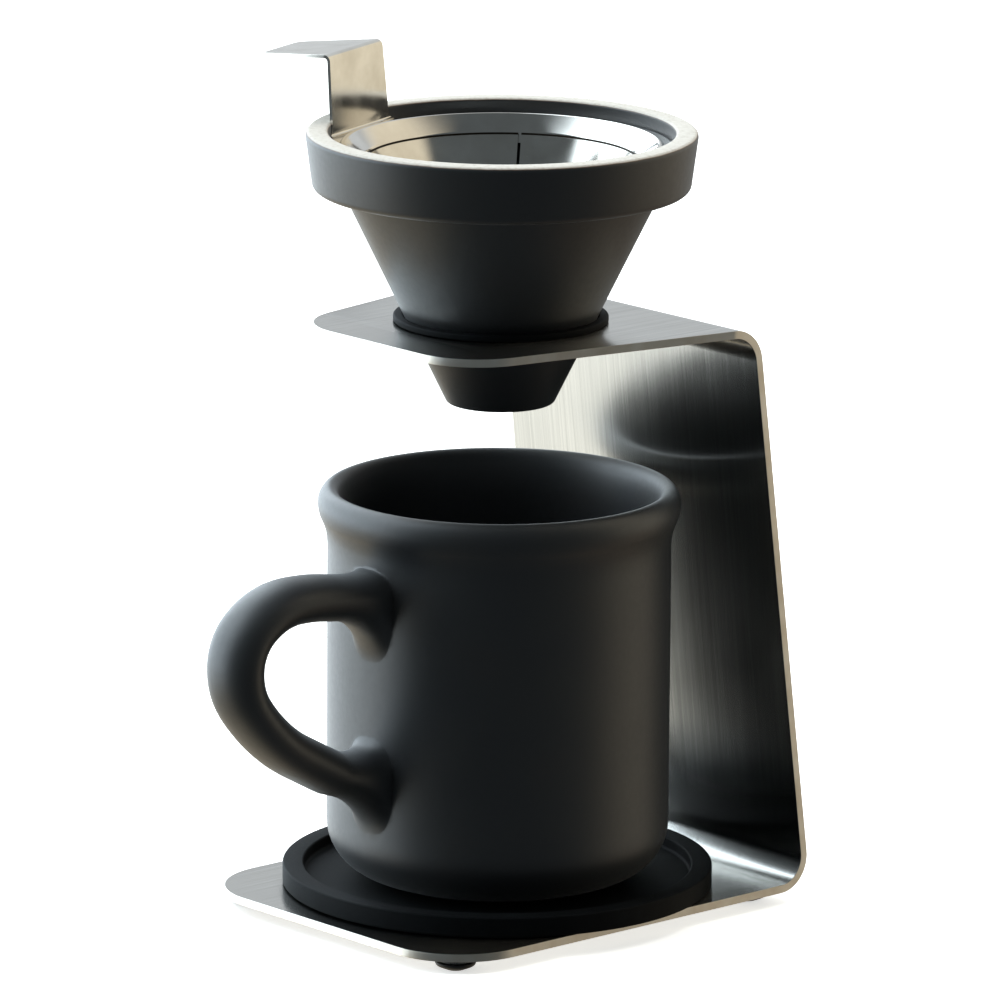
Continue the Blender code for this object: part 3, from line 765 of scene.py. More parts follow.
def make_feet(rubber):
    """Four moulded bumpers: domes that stand on a small flat."""
    for name in ("foot_front_left", "foot_front_right", "foot_rear_left", "foot_rear_right"):
        low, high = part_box(name)
        radius = radius_of(low, high)
        dome_start = 1.2 * MM
        flat = 0.45 * radius
        corners = [
            (0, high.z, 0),
            (radius, high.z, 0.2 * MM),
            (radius, dome_start, 1.1 * MM),
            (flat, low.z, 0.6 * MM),
            (0, low.z, 0),
        ]
        mesh = turned(name + "_bumper", rounded(corners, 5), SMALL_STEPS, closed=False)
        mesh.transform(Matrix.Translation((low + high) / 2 - AXIS - Vector((0, 0, (low.z + high.z) / 2))))
        foot = bake(new_object(name + "_bumper", mesh, (rubber,)), TURNED_EDGE)
        hand_over(foot, "stand", "rubber", name)


# ---- dripper, ring and mat ----

def make_dripper(glaze):
    """A cone with a thick collar, a ledge inside for the filter's flange and an open outlet."""
    collar_bottom = DRIPPER_TOP - COLLAR_HEIGHT
    outlet_top = DRIPPER_BOTTOM + 2.5 * MM
    throat = DRIPPER_BOTTOM + 5.0 * MM
    corners = [
        (COLLAR_RADIUS, DRIPPER_TOP, 1.1 * MM),
        (COLLAR_LOWER_RADIUS, collar_bottom, 1.8 * MM),
        (cone_radius(collar_bottom), collar_bottom, 1.2 * MM),
        (cone_radius(DRIPPER_BOTTOM), DRIPPER_BOTTOM, 1.4 * MM),
        (OUTLET_RADIUS, DRIPPER_BOTTOM, 0.8 * MM),
        (OUTLET_RADIUS, outlet_top, 0.8 * MM),
        (cone_radius(throat) - DRIPPER_WALL, throat, 1.0 * MM),
        (cone_radius(DRIPPER_LEDGE) - DRIPPER_WALL, DRIPPER_LEDGE, 1.0 * MM),
        (DRIPPER_BORE, DRIPPER_LEDGE, 0.8 * MM),
        (DRIPPER_BORE, DRIPPER_TOP, 0.9 * MM),
    ]
    dripper = turned_piece("stoneware_dripper", rounded_loop(corners, 8), glaze, sharp=GLAZED_EDGE)
    hand_over(dripper, "dripper", "glaze", "dripper")


def make_seat_ring(silicone):
    """A grommet with its flange on the shelf and a barb under it, bored to the dripper's cone."""
    gap = 0.2 * MM  # to the shelf's underside and to its hole
    ease = 0.25 * MM  # between the bore and the dripper
    flange_bottom = RING_HIGH.z - (RING_HIGH.z - SHELF_TOP) * 0.9  # just clear of the shelf
    under = SHELF_TOP - SHEET - gap
    neck = SHELF_HOLE - gap
    barb = RING_RADIUS - 0.8 * MM
    barb_end = barb - 0.6 * MM
    corners = [
        (cone_radius(RING_HIGH.z) + ease, RING_HIGH.z, 0.3 * MM),
        (RING_RADIUS, RING_HIGH.z, 0.5 * MM),
        (RING_RADIUS, flange_bottom, 0.3 * MM),
        (neck, flange_bottom, 0.1 * MM),
        (neck, under, 0.1 * MM),
        (barb, under, 0.3 * MM),
        (barb_end, RING_LOW.z, 0.4 * MM),
        (cone_radius(RING_LOW.z) + ease, RING_LOW.z, 0.2 * MM),
    ]
    ring = turned_piece("silicone_seat_ring", rounded_loop(corners, 4), silicone)
    hand_over(ring, "seat_ring", "silicone", "seat_ring")


def make_mat(silicone):
    """A round mat with a raised border."""
    corners = [
        (0, MAT_FLOOR, 0),
        (MAT_INNER, MAT_FLOOR, 0.8 * MM),
        (MAT_INNER, MAT_HIGH.z, 0.45 * MM),
        (MAT_RADIUS, MAT_HIGH.z, 0.45 * MM),
        (MAT_RADIUS, MAT_LOW.z, 0.5 * MM),
        (0, MAT_LOW.z, 0),
    ]
    mat = turned_piece("silicone_mat", rounded(corners), silicone, closed=False)
    hand_over(mat, "mat", "silicone", "mug_mat")


# ---- filter ----

def make_filter_rim(steel):
    """The pressed rim: a flat flange, a raised ridge and a shoulder that slopes in to the funnel's seam."""
    flange_z = FLANGE_TOP - STEEL / 2
    step = 0.7 * MM  # from the ridge out to the flange, and from the seam out to the shoulder
    inner_seam = SEAM_RADIUS + step
    skirt_z = RIM_LOW.z
    corners = [
        (FLANGE_RADIUS, flange_z, 0),
        (RIDGE_RADIUS + step, flange_z, 0.5 * MM),
        (RIDGE_RADIUS, RIDGE_TOP - STEEL / 2, 0.6 * MM),
        (inner_seam, SEAM_TOP, 0.9 * MM),
        (inner_seam - FILTER_SLOPE * (SEAM_TOP - skirt_z), skirt_z, 0),
    ]
    rim = turned_piece("filter_pressed_rim", sheet_outline(rounded(corners, 8), STEEL), steel)
    hand_over(rim, "filter", "polished_steel", "filter_rim")


def make_funnel(steel):
    """The plain rolled cone, with an open butt joint up its back."""
    path = [Vector((funnel_radius(z) - STEEL / 2, z)) for z in (SEAM_TOP, FUNNEL_LOW.z)]
    half = JOINT_WIDTH / 2 / SEAM_RADIUS
    roll = {"start": SEAM_DIRECTION + half, "sweep": math.tau - 2 * half}
    funnel = turned_piece("filter_rolled_funnel", sheet_outline(path, STEEL), steel, **roll)
    hand_over(funnel, "filter", "polished_steel", "filter_funnel")


def make_inner_screen(cloth):
    """The fine inner cone. Its UV map is the flat sheet it was cut from, so the weave keeps its size."""
    wall = STEEL / 2
    top_radius = radius_of(INNER_LOW, INNER_HIGH)
    bottom_radius = top_radius - FILTER_SLOPE * (INNER_HIGH.z - INNER_LOW.z)
    path = [Vector((top_radius - wall, INNER_HIGH.z)), Vector((bottom_radius - wall, INNER_LOW.z))]
    mesh = turned("filter_woven_cone", sheet_outline(path, wall))
    slope_sine = math.sin(math.atan(FILTER_SLOPE))
    for loop, uv in zip(mesh.loops, mesh.uv_layers["UVMap"].data):
        place = mesh.vertices[loop.vertex_index].co - AXIS
        slant = math.hypot(place.x, place.y) / slope_sine
        turn = math.atan2(place.y, place.x) * slope_sine
        uv.uv = (slant * math.cos(turn), slant * math.sin(turn))
    cone = bake(new_object("filter_woven_cone", mesh, (cloth,)), TURNED_EDGE)
    hand_over(cone, "filter", "screen_steel", "filter_screen_inner")


def perforation_sizes():
    """The sizes the perforated cone is made from: those of its flat pattern, a sector of a ring."""
    pitch = 1.6 * MM
    hole = 1.0 * MM
    row_step = pitch * math.sqrt(3) / 2
    margin = 0.6 * pitch  # from a hole's middle to the pattern's edge
    half_angle = math.atan(FILTER_SLOPE)
    bottom_radius = SCREEN_TOP_RADIUS - FILTER_SLOPE * (SCREEN_HIGH.z - SCREEN_LOW.z)
    outer = SCREEN_TOP_RADIUS / math.sin(half_angle)
    columns = int(2 * outer / pitch)
    rows = int(2 * outer / row_step)
    return {
        "Columns": columns,
        "Rows": rows,
        "Field Width": (columns - 1) * pitch,
        "Field Depth": (rows - 1) * row_step,
        "Row Shift": pitch / 2,
        "Margin": margin,
        "Outermost": outer - margin,
        "Innermost": bottom_radius / math.sin(half_angle) + margin,
        "Half Sector": math.pi * math.sin(half_angle),
        "Tile Radius": pitch / math.sqrt(3),
        "Hole Share": hole / pitch,
        "Slant Sine": math.sin(half_angle),
        "Slant Cosine": math.cos(half_angle),
        "Slant Length": outer,
        "Top Height": SCREEN_HIGH.z,
        "Thickness": -STEEL / 2,
    }


# Each is a name, an operation and what it works on: an earlier name, an input of the group or a number.
PERFORATION_FORMULAS = (
    # Every second row of holes is shifted by half a pitch.
    ("Row", "MODULO", "Number", "Rows"),
    ("Odd", "MODULO", "Row", 2.0),
    ("Shift", "MULTIPLY", "Odd", "Row Shift"),
    # A hole is left out where it isn't well inside the flat pattern.
    ("Turn", "ARCTAN2", "Y", "X"),
    ("Outside", "GREATER_THAN", "Reach", "Outermost"),
    ("Inside", "LESS_THAN", "Reach", "Innermost"),
    ("Bearing", "ABSOLUTE", "Turn"),
    ("Left", "SUBTRACT", "Half Sector", "Bearing"),
    ("Gap", "MULTIPLY", "Left", "Reach"),
    ("Beyond", "LESS_THAN", "Gap", "Margin"),
    ("Off Ring", "MAXIMUM", "Outside", "Inside"),
    ("Unwanted", "MAXIMUM", "Off Ring", "Beyond"),
    # Where a point of the flat pattern goes when it is rolled up.
    ("Around", "DIVIDE", "Turn", "Slant Sine"),
    ("Radius", "MULTIPLY", "Reach", "Slant Sine"),
    ("Below", "SUBTRACT", "Slant Length", "Reach"),
    ("Drop", "MULTIPLY", "Below", "Slant Cosine"),
    ("East", "COSINE", "Around"),
    ("North", "SINE", "Around"),
    ("Rolled X", "MULTIPLY", "Radius", "East"),
    ("Rolled Y", "MULTIPLY", "Radius", "North"),
    ("Rolled Z", "SUBTRACT", "Top Height", "Drop"),
)


def perforation_tree(sizes, material):
    """A flat honeycomb of holed tiles, cut to the cone's flat pattern, rolled up and given its thickness."""
    tree = bpy.data.node_groups.new("perforated_cone", "GeometryNodeTree")
    for name, value in sizes.items():
        kind = "NodeSocketInt" if isinstance(value, int) else "NodeSocketFloat"
        tree.interface.new_socket(name, in_out="INPUT", socket_type=kind)
    tree.interface.new_socket("Geometry", in_out="OUTPUT", socket_type="NodeSocketGeometry")
    given = add(tree, "NodeGroupInput").outputs
    place = add(tree, "GeometryNodeInputPosition")
    parts = add(tree, "SeparateXYZ", {"Vector": place}).outputs
    known = {name: given[name] for name in sizes}
    known["X"] = parts["X"]
    known["Y"] = parts["Y"]
    known["Reach"] = add(tree, "VectorMath", {0: place}, operation="LENGTH")
    known["Number"] = add(tree, "GeometryNodeInputIndex")
    for name, operation, *sources in PERFORATION_FORMULAS:
        inputs = {slot: known.get(source, source) for slot, source in enumerate(sources)}
        known[name] = add(tree, "Math", inputs, operation=operation)

    field = {"Size X": given["Field Width"], "Size Y": given["Field Depth"]}
    counts = {"Vertices X": given["Columns"], "Vertices Y": given["Rows"]}
    grid = add(tree, "GeometryNodeMeshGrid", {**field, **counts})
    spots = add(tree, "GeometryNodeMeshToPoints", {"Mesh": grid})
    sideways = add(tree, "CombineXYZ", {"X": known["Shift"]})
    staggered = add(tree, "GeometryNodeSetPosition", {"Geometry": spots, "Offset": sideways})
    spare = {"Geometry": staggered, "Selection": known["Unwanted"]}
    kept = add(tree, "GeometryNodeDeleteGeometry", spare, domain="POINT")

    hexagon = {"Vertices": 6, "Radius": given["Tile Radius"]}
    tile = add(tree, "GeometryNodeMeshCircle", hexagon, fill_type="NGON")
    upright = add(tree, "GeometryNodeTransform", {"Geometry": tile, "Rotation": (0, 0, math.radians(30))})
    inset = add(tree, "GeometryNodeExtrudeMesh", {"Mesh": upright, "Offset Scale": 0.0}, mode="FACES")
    top = {"Selection": inset.outputs["Top"]}
    shrink = {"Geometry": inset, "Scale": given["Hole Share"], **top}
    shrunk = add(tree, "GeometryNodeScaleElements", shrink)
    holed = add(tree, "GeometryNodeDeleteGeometry", {"Geometry": shrunk, **top}, domain="FACE")
    tiled = add(tree, "GeometryNodeInstanceOnPoints", {"Points": kept, "Instance": holed})
    real = add(tree, "GeometryNodeRealizeInstances", {"Geometry": tiled})
    flat = add(tree, "GeometryNodeMergeByDistance", {"Geometry": real, "Distance": WELD})

    rolled = {axis: known["Rolled " + axis] for axis in "XYZ"}
    target = add(tree, "CombineXYZ", rolled)
    cone = add(tree, "GeometryNodeSetPosition", {"Geometry": flat, "Position": target})
    thicker = {"Mesh": cone, "Offset Scale": given["Thickness"], "Individual": False}
    walls = add(tree, "GeometryNodeExtrudeMesh", thicker, mode="FACES")
    inner = add(tree, "GeometryNodeFlipFaces", {"Mesh": walls})
    both = add(tree, "GeometryNodeJoinGeometry", {"Geometry": [inner, cone]})
    closed = add(tree, "GeometryNodeMergeByDistance", {"Geometry": both, "Distance": WELD})
    solid = add(tree, "GeometryNodeRealizeInstances", {"Geometry": closed})
    finished = add(tree, "GeometryNodeSetMaterial", {"Geometry": solid, "Material": material})
    add(tree, "NodeGroupOutput", {"Geometry": finished})
    return tree


def make_outer_screen(steel):
    """The perforated outer cone, with plain bands at its top and foot and a lapped upright joint."""
    sizes = perforation_sizes()
    tree = perforation_tree(sizes, steel)
    screen = new_object("filter_perforated_cone", bpy.data.meshes.new("filter_perforated_cone"))
    roll = screen.modifiers.new("perforations", "NODES")
    roll.node_group = tree
    for item in tree.interface.items_tree:
        if item.name in sizes:
            roll[item.identifier] = sizes[item.name]
    bake(screen, SCREEN_EDGE)
    screen.data.transform(Matrix.Translation(AXIS) @ Matrix.Rotation(SEAM_DIRECTION + math.pi, 4, "Z"))
    band = 2.6 * MM
    middle = STEEL / 4  # how deep the middle of the holed sheet lies
    strip_sheet = STEEL * 0.8  # thicker than the holed sheet, so it covers it on both sides
    half_lap = 2.4 * MM / SCREEN_TOP_RADIUS
    lap_start = SEAM_DIRECTION - half_lap
    strips = (
        (SCREEN_HIGH.z, SCREEN_HIGH.z - band, {}),
        (SCREEN_LOW.z + band, SCREEN_LOW.z, {}),
        (SCREEN_HIGH.z, SCREEN_LOW.z, {"start": lap_start, "sweep": 2 * half_lap, "steps": 6}),
    )
    shape = bmesh.new()
    shape.from_mesh(screen.data)
    for high, low, span in strips:
        path = []
        for z in (high, low):
            path.append(Vector((SCREEN_TOP_RADIUS - FILTER_SLOPE * (SCREEN_HIGH.z - z) - middle, z)))
        strip = turned("strip", sheet_outline(path, strip_sheet), **span)
        shape.from_mesh(strip)
        bpy.data.meshes.remove(strip)
    screen.data = to_mesh("filter_perforated_cone", shape)
    screen.data.materials.append(steel)
    bake(screen, SCREEN_EDGE)
    hand_over(screen, "filter", "screen_steel", "filter_screen_outer")


def make_base_cup(steel):
    """The pressed cup that closes both cones at the foot, with a raised middle."""
    top_radius = radius_of(CUP_LOW, CUP_HIGH) - STEEL / 2
    knee = top_radius - FILTER_SLOPE * (CUP_HIGH.z - CUP_LOW.z)
    step_out, step_in = 0.55 * knee, 0.45 * knee
    floor = CUP_LOW.z + STEEL / 2
    raised = floor + 0.5 * MM
    corners = [
        (top_radius, CUP_HIGH.z, 0),
        (knee, floor, 1.0 * MM),
        (step_out, floor, 0.6 * MM),
        (step_in, raised, 0.6 * MM),
        (0, raised, 0),
    ]
    path = rounded(corners)
    outline = sheet_outline(path, STEEL)
    for point in (outline[len(path) - 1], outline[len(path)]):
        point.x = 0
    cup = turned_piece("filter_pressed_cup", outline, steel, steps=SMALL_STEPS)
    hand_over(cup, "filter", "polished_steel", "filter_base")


def tab_rows(radial):
    """(distance, half width, middle) rows of the finger tab, from its foot on the flange."""
    foot = 39.7 * MM
    fold = 41.2 * MM
    length = 21.2 * MM
    droop = 2.1 * MM
    toe = 1.0 * MM
    root_half, fold_half, end_half = 13.6 * MM, 12.8 * MM, 9.0 * MM
    flare, flare_height = 1.3 * MM, 3.5 * MM
    corner = 2.2 * MM
    weld = 0.2 * MM  # how far the foot sinks into the flange
    foot_z = FLANGE_TOP + TAB_SHEET / 2 - weld
    fold_z = TAB_HIGH.z - TAB_SHEET / 2
    corners = [
        (foot - toe, foot_z, 0),
        (foot, foot_z, 0.9 * MM),
        (fold, fold_z, 1.3 * MM),
        (fold + length, fold_z - droop, 0),
    ]
    steps = 8
    path = rounded(corners, steps)
    lengths = lengths_along(path)
    total = lengths[-1]
    upright_start = lengths[steps + 1]
    fold_start = lengths[-steps - 2]
    fold_end = lengths[-2]
    rise = fold_start - upright_start
    spots = lengths[:-1]
    spots += [upright_start + rise * share for share in (0.04, 0.08, 0.12, 0.18, 0.25, 0.5, 0.75)]
    spots += [total - corner * (1 - math.sin(math.radians(angle))) for angle in range(0, 100, 10)]
    rows = []
    for distance in sorted(spots):
        place = place_at(path, lengths, distance)
        if distance <= fold_start:
            wide = root_half + (fold_half - root_half) * distance / fold_start
            wide += flare * max(0.0, 1 - (place.y - foot_z) / flare_height) ** 3
        elif distance <= fold_end:
            wide = fold_half
        else:
            wide = fold_half + (end_half - fold_half) * (distance - fold_end) / (total - fold_end)
        if distance > total - corner:
            beyond = (distance - total + corner) / corner
            wide -= corner * (1 - math.sqrt(max(0.0, 1 - beyond * beyond)))
        rows.append((distance, wide, AXIS + radial * place.x + Vector((0, 0, place.y))))
    return rows


def make_tab(steel):
    """The bent finger tab, welded on the flange."""
    radial = Vector((math.cos(TAB_DIRECTION), math.sin(TAB_DIRECTION), 0))
    across = Vector((-radial.y, radial.x, 0))
    tab = bent_sheet("filter_finger_tab", tab_rows(radial), across, TAB_SHEET, (steel,))
    deburr(tab, TAB_EDGE_BREAK)
    bake(tab, SHEET_EDGE)
    hand_over(tab, "filter", "polished_steel", "filter_tab")


# ---- mug ----

def mug_outline():
    """From the axis inside, up the wall, over the rolled lip, down the outside and in under the foot."""
    floor = MUG_BOTTOM + 4.8 * MM
    lip_start = MUG_TOP - LIP_DEPTH
    inside = rounded([(0, floor, 0), (MUG_INSIDE, floor, 10 * MM), (MUG_INSIDE, lip_start, 0)], 12)
    # The lip, in millimetres out from the inside wall and up from the top: inside, crown, bead, neck.
    lip = [(0.0, -18.0), (0.0, -12.5), (0.1, -8.8), (0.4, -5.6), (0.9, -3.1)]
    lip += [(1.7, -1.2), (2.9, -0.15), (4.2, -0.3), (5.4, -1.3)]
    lip += [(6.2, -2.9), (6.35, -4.8), (5.9, -6.9), (5.0, -9.0)]
    lip += [(4.3, -11.4), (4.0, -14.5), (4.0, -18.0)]
    rolled = smooth([(MUG_INSIDE + out * MM, MUG_TOP + up * MM) for out, up in lip], 5)
    foot = 29 * MM  # outer radius of the ring it stands on
    heel = MUG_BOTTOM + 0.8 * MM
    under = MUG_BOTTOM + 1.0 * MM
    # Rows down the wall keep the shading even round the handle's roots.
    wall = [(MUG_RADIUS, MUG_TOP - (20 + 2 * row) * MM, 0) for row in range(32)]
    corners = [
        (MUG_RADIUS, lip_start, 0),
        *wall,
        (MUG_RADIUS, heel, 13 * MM),
        (foot + 1.0 * MM, heel, 0.4 * MM),
        (foot, MUG_BOTTOM, 0.3 * MM),
        (foot - 3.5 * MM, MUG_BOTTOM, 0.4 * MM),
        (foot - 4.5 * MM, under, 0.4 * MM),
        (0, under, 0),
    ]
    return inside[:-1] + rolled + rounded(corners, 12)[1:]


def handle_rings():
    """Rings of the handle: elliptic sections along its route, whose ends flare out onto the wall."""
    start = MUG_RADIUS + HANDLE_FILLET
    bow = HANDLE_REACH - 1.5 * MM  # its furthest point
    # Its middle line: distance from the cup axis and height above the base.
    stations = [(start, 80.3 * MM), (61.7 * MM, 81.3 * MM), (69.8 * MM, 81.2 * MM)]
    stations += [(76.5 * MM, 78.9 * MM), (81.9 * MM, 74.2 * MM), (bow, 67.5 * MM)]
    stations += [(82.6 * MM, 59.8 * MM), (77.0 * MM, 52.1 * MM), (69.6 * MM, 45.5 * MM)]
    stations += [(61.0 * MM, 40.4 * MM), (start, 36.6 * MM)]
    route = smooth([(-out, BASE_TOP + up) for out, up in stations], 6)
    middle = []
    for index in range(1, len(route) - 1):
        along = (route[index + 1] - route[index - 1]).normalized()
        across = Vector((-along.y, along.x))
        ring = []
        for step in range(HANDLE_STEPS):
            angle = math.tau * step / HANDLE_STEPS
            place = route[index] - across * (HANDLE_THICK / 2 * math.sin(angle))
            ring.append(Vector((HANDLE_WIDE / 2 * math.cos(angle), place.x, place.y)))
        middle.append(ring)
    upper = root_rings(route[0].y, BASE_TOP + 78.2 * MM, 2.0 * MM, 11.2 * MM)
    lower = root_rings(route[-1].y, BASE_TOP + 32.3 * MM, 6.2 * MM, 8.0 * MM)
    lower = [[ring[-step] for step in range(HANDLE_STEPS)] for ring in lower]
    return list(reversed(upper)) + middle + lower


def root_rings(handle_z, wall_z, up, down):
    """Rings of one root, from the handle's height to its own on the wall, flaring that far up and down."""
    sunk = 1.6 * MM  # the last ring lies inside the wall
    rings = []
    for angle in (0, 10, 20, 30, 40, 50, 60, 68, 76, 84, 90):
        share = 1 - math.cos(math.radians(angle))
        away = HANDLE_FILLET * (1 - math.sin(math.radians(angle)))
        centre = wall_z + (handle_z - wall_z) * away / HANDLE_FILLET
        rings.append(flared_ring(away, centre, share, up, down))
    rings.append(flared_ring(-sunk, wall_z, 1.0, up, down))
    return rings


def flared_ring(away, centre, share, up, down):
    """A ring at a distance from the wall, widened by its share of the flare and bent to the wall's curve.
    It starts as an ellipse and gets squarer and a little narrower towards the wall."""
    narrowing = 0.5 * MM
    bite = 0.06 * MM  # every ring sits this much closer, so that the flare's foot enters the wall
    power = 1 - 0.3 * share
    ring = []
    for step in range(HANDLE_STEPS):
        angle = math.tau * step / HANDLE_STEPS
        across = math.copysign(abs(math.cos(angle)) ** power, math.cos(angle))
        upward = math.copysign(abs(math.sin(angle)) ** power, math.sin(angle))
        lift = up if upward > 0 else down
        x = (HANDLE_WIDE / 2 - narrowing * share) * across
        z = centre + (HANDLE_THICK / 2 + lift * share) * upward
        sag = MUG_RADIUS - math.sqrt(MUG_RADIUS ** 2 - x * x)
        nearness = 1 - max(0.0, away) / HANDLE_FILLET
        ring.append(Vector((x, -(MUG_RADIUS + away - bite) + sag * nearness, z)))
    return ring


def make_mug(glaze):
    """The turned body with its handle joined on, one fired piece."""
    mesh = turned("stoneware_mug", mug_outline(), closed=False)
    mug = new_object("stoneware_mug", mesh, (glaze,))
    shape = bmesh.new()
    rings = []
    for ring in handle_rings():
        rings.append([shape.verts.new(place + AXIS) for place in ring])
    for first, second in zip(rings, rings[1:]):
        for step in range(HANDLE_STEPS):
            following = (step + 1) % HANDLE_STEPS
            shape.faces.new((first[step], first[following], second[following], second[step]))
    shape.faces.new(rings[0])
    shape.faces.new(rings[-1])
    handle = new_object("handle", outward_mesh("handle", shape), (glaze,))
    combine(mug, handle, "UNION")
    bake(mug, GLAZED_EDGE)
    bpy.data.objects.remove(handle, do_unlink=True)
    hand_over(mug, "mug", "glaze", "mug")


# ---- studio ----

def make_floor():
    """A pale matt board, far larger than the view. It glows a little so that it stays pale, and the set
    doesn't mirror it: what the set reflects is the room below."""
    material, tree, shader, places = new_material("matt_white_board")
    where = places["Object"]
    pulp = add(tree, "TexNoise", {"Vector": where, "Scale": 1 / (60 * MM), "Detail": 3.0})
    fibre = add(tree, "TexNoise", {"Vector": where, "Scale": 1 / (2 * MM), "Detail": 2.0})
    tone = add(tree, "ValToRGB", {"Fac": pulp}, ((0.3, "#F3F3F1"), (0.7, "#F7F7F5")))
    rough = add(tree, "MapRange", {"Value": fibre, "To Min": 0.8, "To Max": 0.95})
    fill(shader, {"IOR": 1.45, "Base Color": tone, "Roughness": rough})
    fill(shader, {"Emission Color": tone, "Emission Strength": 0.7})
    shape = bmesh.new()
    bmesh.ops.create_circle(shape, cap_ends=True, segments=96, radius=6.0)
    floor = new_object("floor", outward_mesh("floor", shape), (material,))
    floor.visible_glossy = False
    floor.visible_diffuse = False


def side_of_room(tree, flat, azimuth, full, faded, hex_colour, strength):
    """A wall of light round an azimuth: whole within the full angle and gone at the faded one."""
    a, full, faded = (math.radians(angle) for angle in (azimuth, full, faded))
    facing = (math.sin(a), -math.cos(a), 0)
    towards = add(tree, "VectorMath", {0: flat, 1: facing}, operation="DOT_PRODUCT")
    limits = {"From Min": math.cos(faded), "From Max": math.cos(full)}
    soft = {"interpolation_type": "SMOOTHSTEP"}
    reach = add(tree, "MapRange", {"Value": towards, **limits}, **soft)
    light = {0: light_of(hex_colour, strength), "Scale": reach}
    return add(tree, "VectorMath", light, operation="SCALE")


def make_world():
    """White past the board; for the set itself a room with a window on its left, a white wall behind,
    a warm wall behind right, and nothing bright in front or overhead."""
    world = bpy.data.worlds.new("studio")
    bpy.context.scene.world = world
    world.use_nodes = True
    tree = world.node_tree
    tree.nodes.clear()
    direction = add(tree, "TexCoord").outputs["Generated"]
    parts = add(tree, "SeparateXYZ", {"Vector": direction}).outputs
    level = add(tree, "CombineXYZ", {"X": parts["X"], "Y": parts["Y"]})
    flat = add(tree, "VectorMath", {0: level}, operation="NORMALIZE")
    window = side_of_room(tree, flat, -75, 41, 54, "#E6F5FF", strength=4.0)
    white_wall = side_of_room(tree, flat, 228, 26, 46, "#F0F4F8", strength=0.68)
    warm_wall = side_of_room(tree, flat, 158, 25, 40, "#F4E7CC", strength=0.95)
    lit = add(tree, "VectorMath", {0: window, 1: white_wall}, operation="ADD")
    lit = add(tree, "VectorMath", {0: lit, 1: warm_wall}, operation="ADD")
    fades = []
    # The elevations where the light is gone and where it is whole: overhead, and down at the table.
    for gone, whole in ((75, 48), (-30, -4)):
        limits = {"From Min": math.sin(math.radians(gone)), "From Max": math.sin(math.radians(whole))}
        height = {"Value": parts["Z"], **limits}
        fades.append(add(tree, "MapRange", height, interpolation_type="SMOOTHSTEP"))
    ceiling, ground = fades
    # Low down the room's light comes off a warm table top.
    table = add(tree, "ValToRGB", {"Fac": ground}, ((0.0, "#938068"), (1.0, "#FFFFFF")))
    warmed = add(tree, "VectorMath", {0: lit, 1: table}, operation="MULTIPLY")
    shaded = add(tree, "VectorMath", {0: warmed, "Scale": ceiling}, operation="SCALE")
    dim = light_of("#D8E6EE", strength=0.15)
    total = add(tree, "VectorMath", {0: shaded, 1: dim}, operation="ADD")
    room = add(tree, "Background", {"Color": total})
    white = add(tree, "Background", {"Color": linear("#FFFFFF")})
    seen = add(tree, "LightPath").outputs["Is Camera Ray"]
    mixed = add(tree, "MixShader", {0: seen, 1: room, 2: white})
    add(tree, "OutputWorld", {"Surface": mixed})


def direction_of(azimuth, elevation):
    """The unit vector towards an azimuth, counted from the front, and an elevation, in radians."""
    level = math.cos(elevation)
    return Vector((math.sin(azimuth) * level, -math.cos(azimuth) * level, math.sin(elevation)))


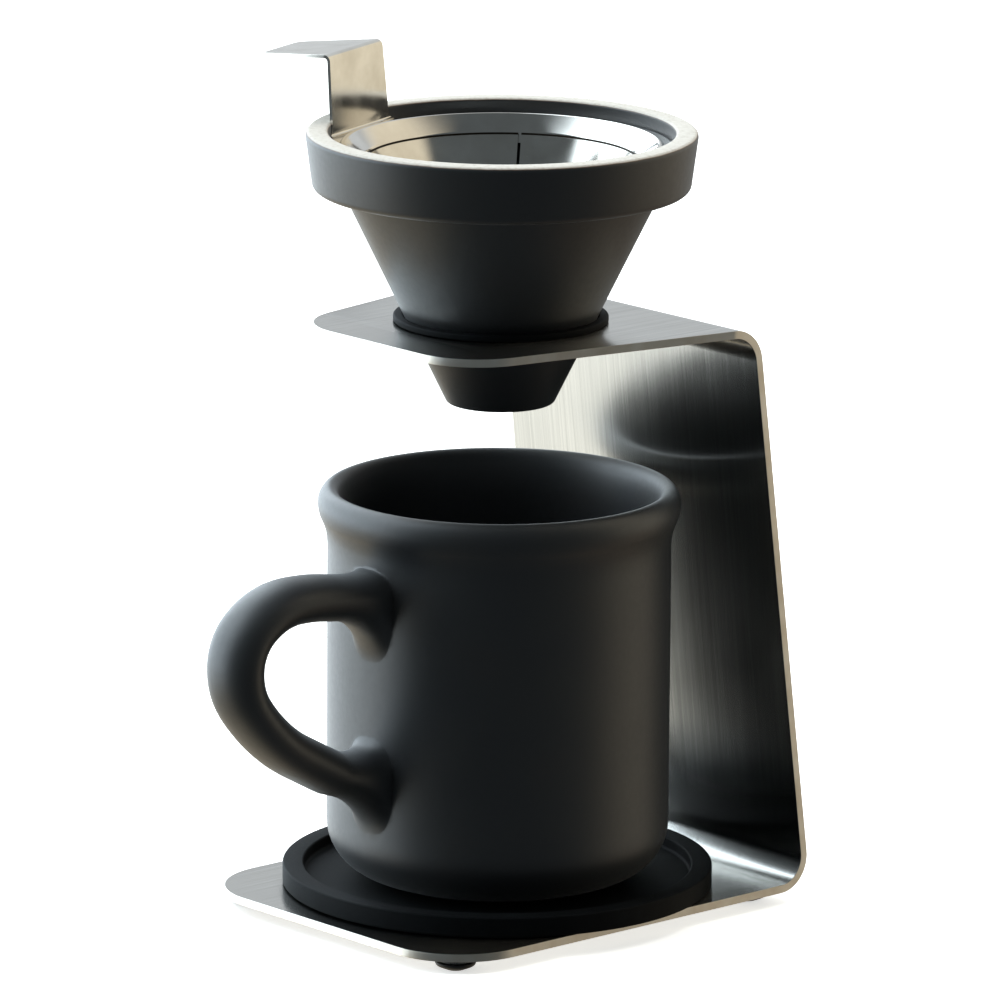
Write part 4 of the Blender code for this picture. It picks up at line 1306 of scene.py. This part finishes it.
def soft_box(name, azimuth, elevation, distance, size, power):
    """A square soft white light aimed at the middle of the set."""
    middle = (CAD_BOX[0] + CAD_BOX[1]) / 2
    towards = direction_of(math.radians(azimuth), math.radians(elevation))
    data = bpy.data.lights.new(name, "AREA")
    data.shape = "RECTANGLE"
    data.size = size
    data.size_y = size
    data.energy = power
    lamp = bpy.data.objects.new(name, data)
    bpy.context.scene.collection.objects.link(lamp)
    lamp.location = middle + towards * distance
    lamp.rotation_mode = "QUATERNION"
    lamp.rotation_quaternion = (-towards).to_track_quat("-Z", "Y")
    lamp.visible_camera = False
    return lamp


def make_lights():
    """A large soft light overhead, which the polished pieces don't mirror."""
    overhead = soft_box("overhead", azimuth=228, elevation=78, distance=1.7, size=1.6, power=30)
    overhead.visible_glossy = False


def make_camera():
    """Seen from the front right, a little above."""
    azimuth = math.radians(48.263)
    roll = math.radians(0.382)
    distance = 2.3085
    target = AXIS + Vector((0.14 * MM, 0, BASE_TOP + 96.31 * MM))
    back = direction_of(azimuth, math.radians(13.166))
    right = Vector((math.cos(azimuth), math.sin(azimuth), 0))
    up = back.cross(right)
    turned_right = right * math.cos(roll) + up * math.sin(roll)
    turned_up = up * math.cos(roll) - right * math.sin(roll)
    data = bpy.data.cameras.new("camera")
    data.lens = 340.95
    data.sensor_width = 36.0
    data.clip_start = 0.1
    data.clip_end = 30
    camera = bpy.data.objects.new("camera", data)
    bpy.context.scene.collection.objects.link(camera)
    pose = Matrix((turned_right, turned_up, back)).transposed().to_4x4()
    pose.translation = target + back * distance
    camera.matrix_world = pose
    bpy.context.scene.camera = camera


# ---- the set ----

BRUSHED = brushed_stainless()
CUT_EDGE = laser_cut_edge()
SILICONE = moulded_silicone()
SPUN = spun_steel()
BUFFED = buffed_sheet("buffed_bright_rolled_stainless")

make_stand(BRUSHED, CUT_EDGE)
make_feet(moulded_rubber())
make_seat_ring(SILICONE)
make_dripper(satin_glaze("satin_black_glaze_with_bare_rim", DRIPPER_TOP - 0.35 * MM))
make_filter_rim(SPUN)
# The funnel's top 0.35 mm is painted dark: painted shade for the gap where it meets the rim's shoulder.
make_funnel(buffed_sheet("buffed_rolled_stainless_with_painted_seam_shade", SEAM_TOP - 0.35 * MM))
make_outer_screen(etched_screen())
make_inner_screen(woven_cloth())
make_base_cup(SPUN)
make_tab(BUFFED)
make_mat(SILICONE)
make_mug(satin_glaze("satin_black_glaze"))
TAPE = foam_adhesive()
for node in ("foot_pad_front_left", "foot_pad_front_right", "foot_pad_rear_left", "foot_pad_rear_right"):
    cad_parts[node].material_slots[0].material = TAPE

make_floor()
make_world()
make_lights()
make_camera()
bpy.context.scene.view_settings.view_transform = "Standard"
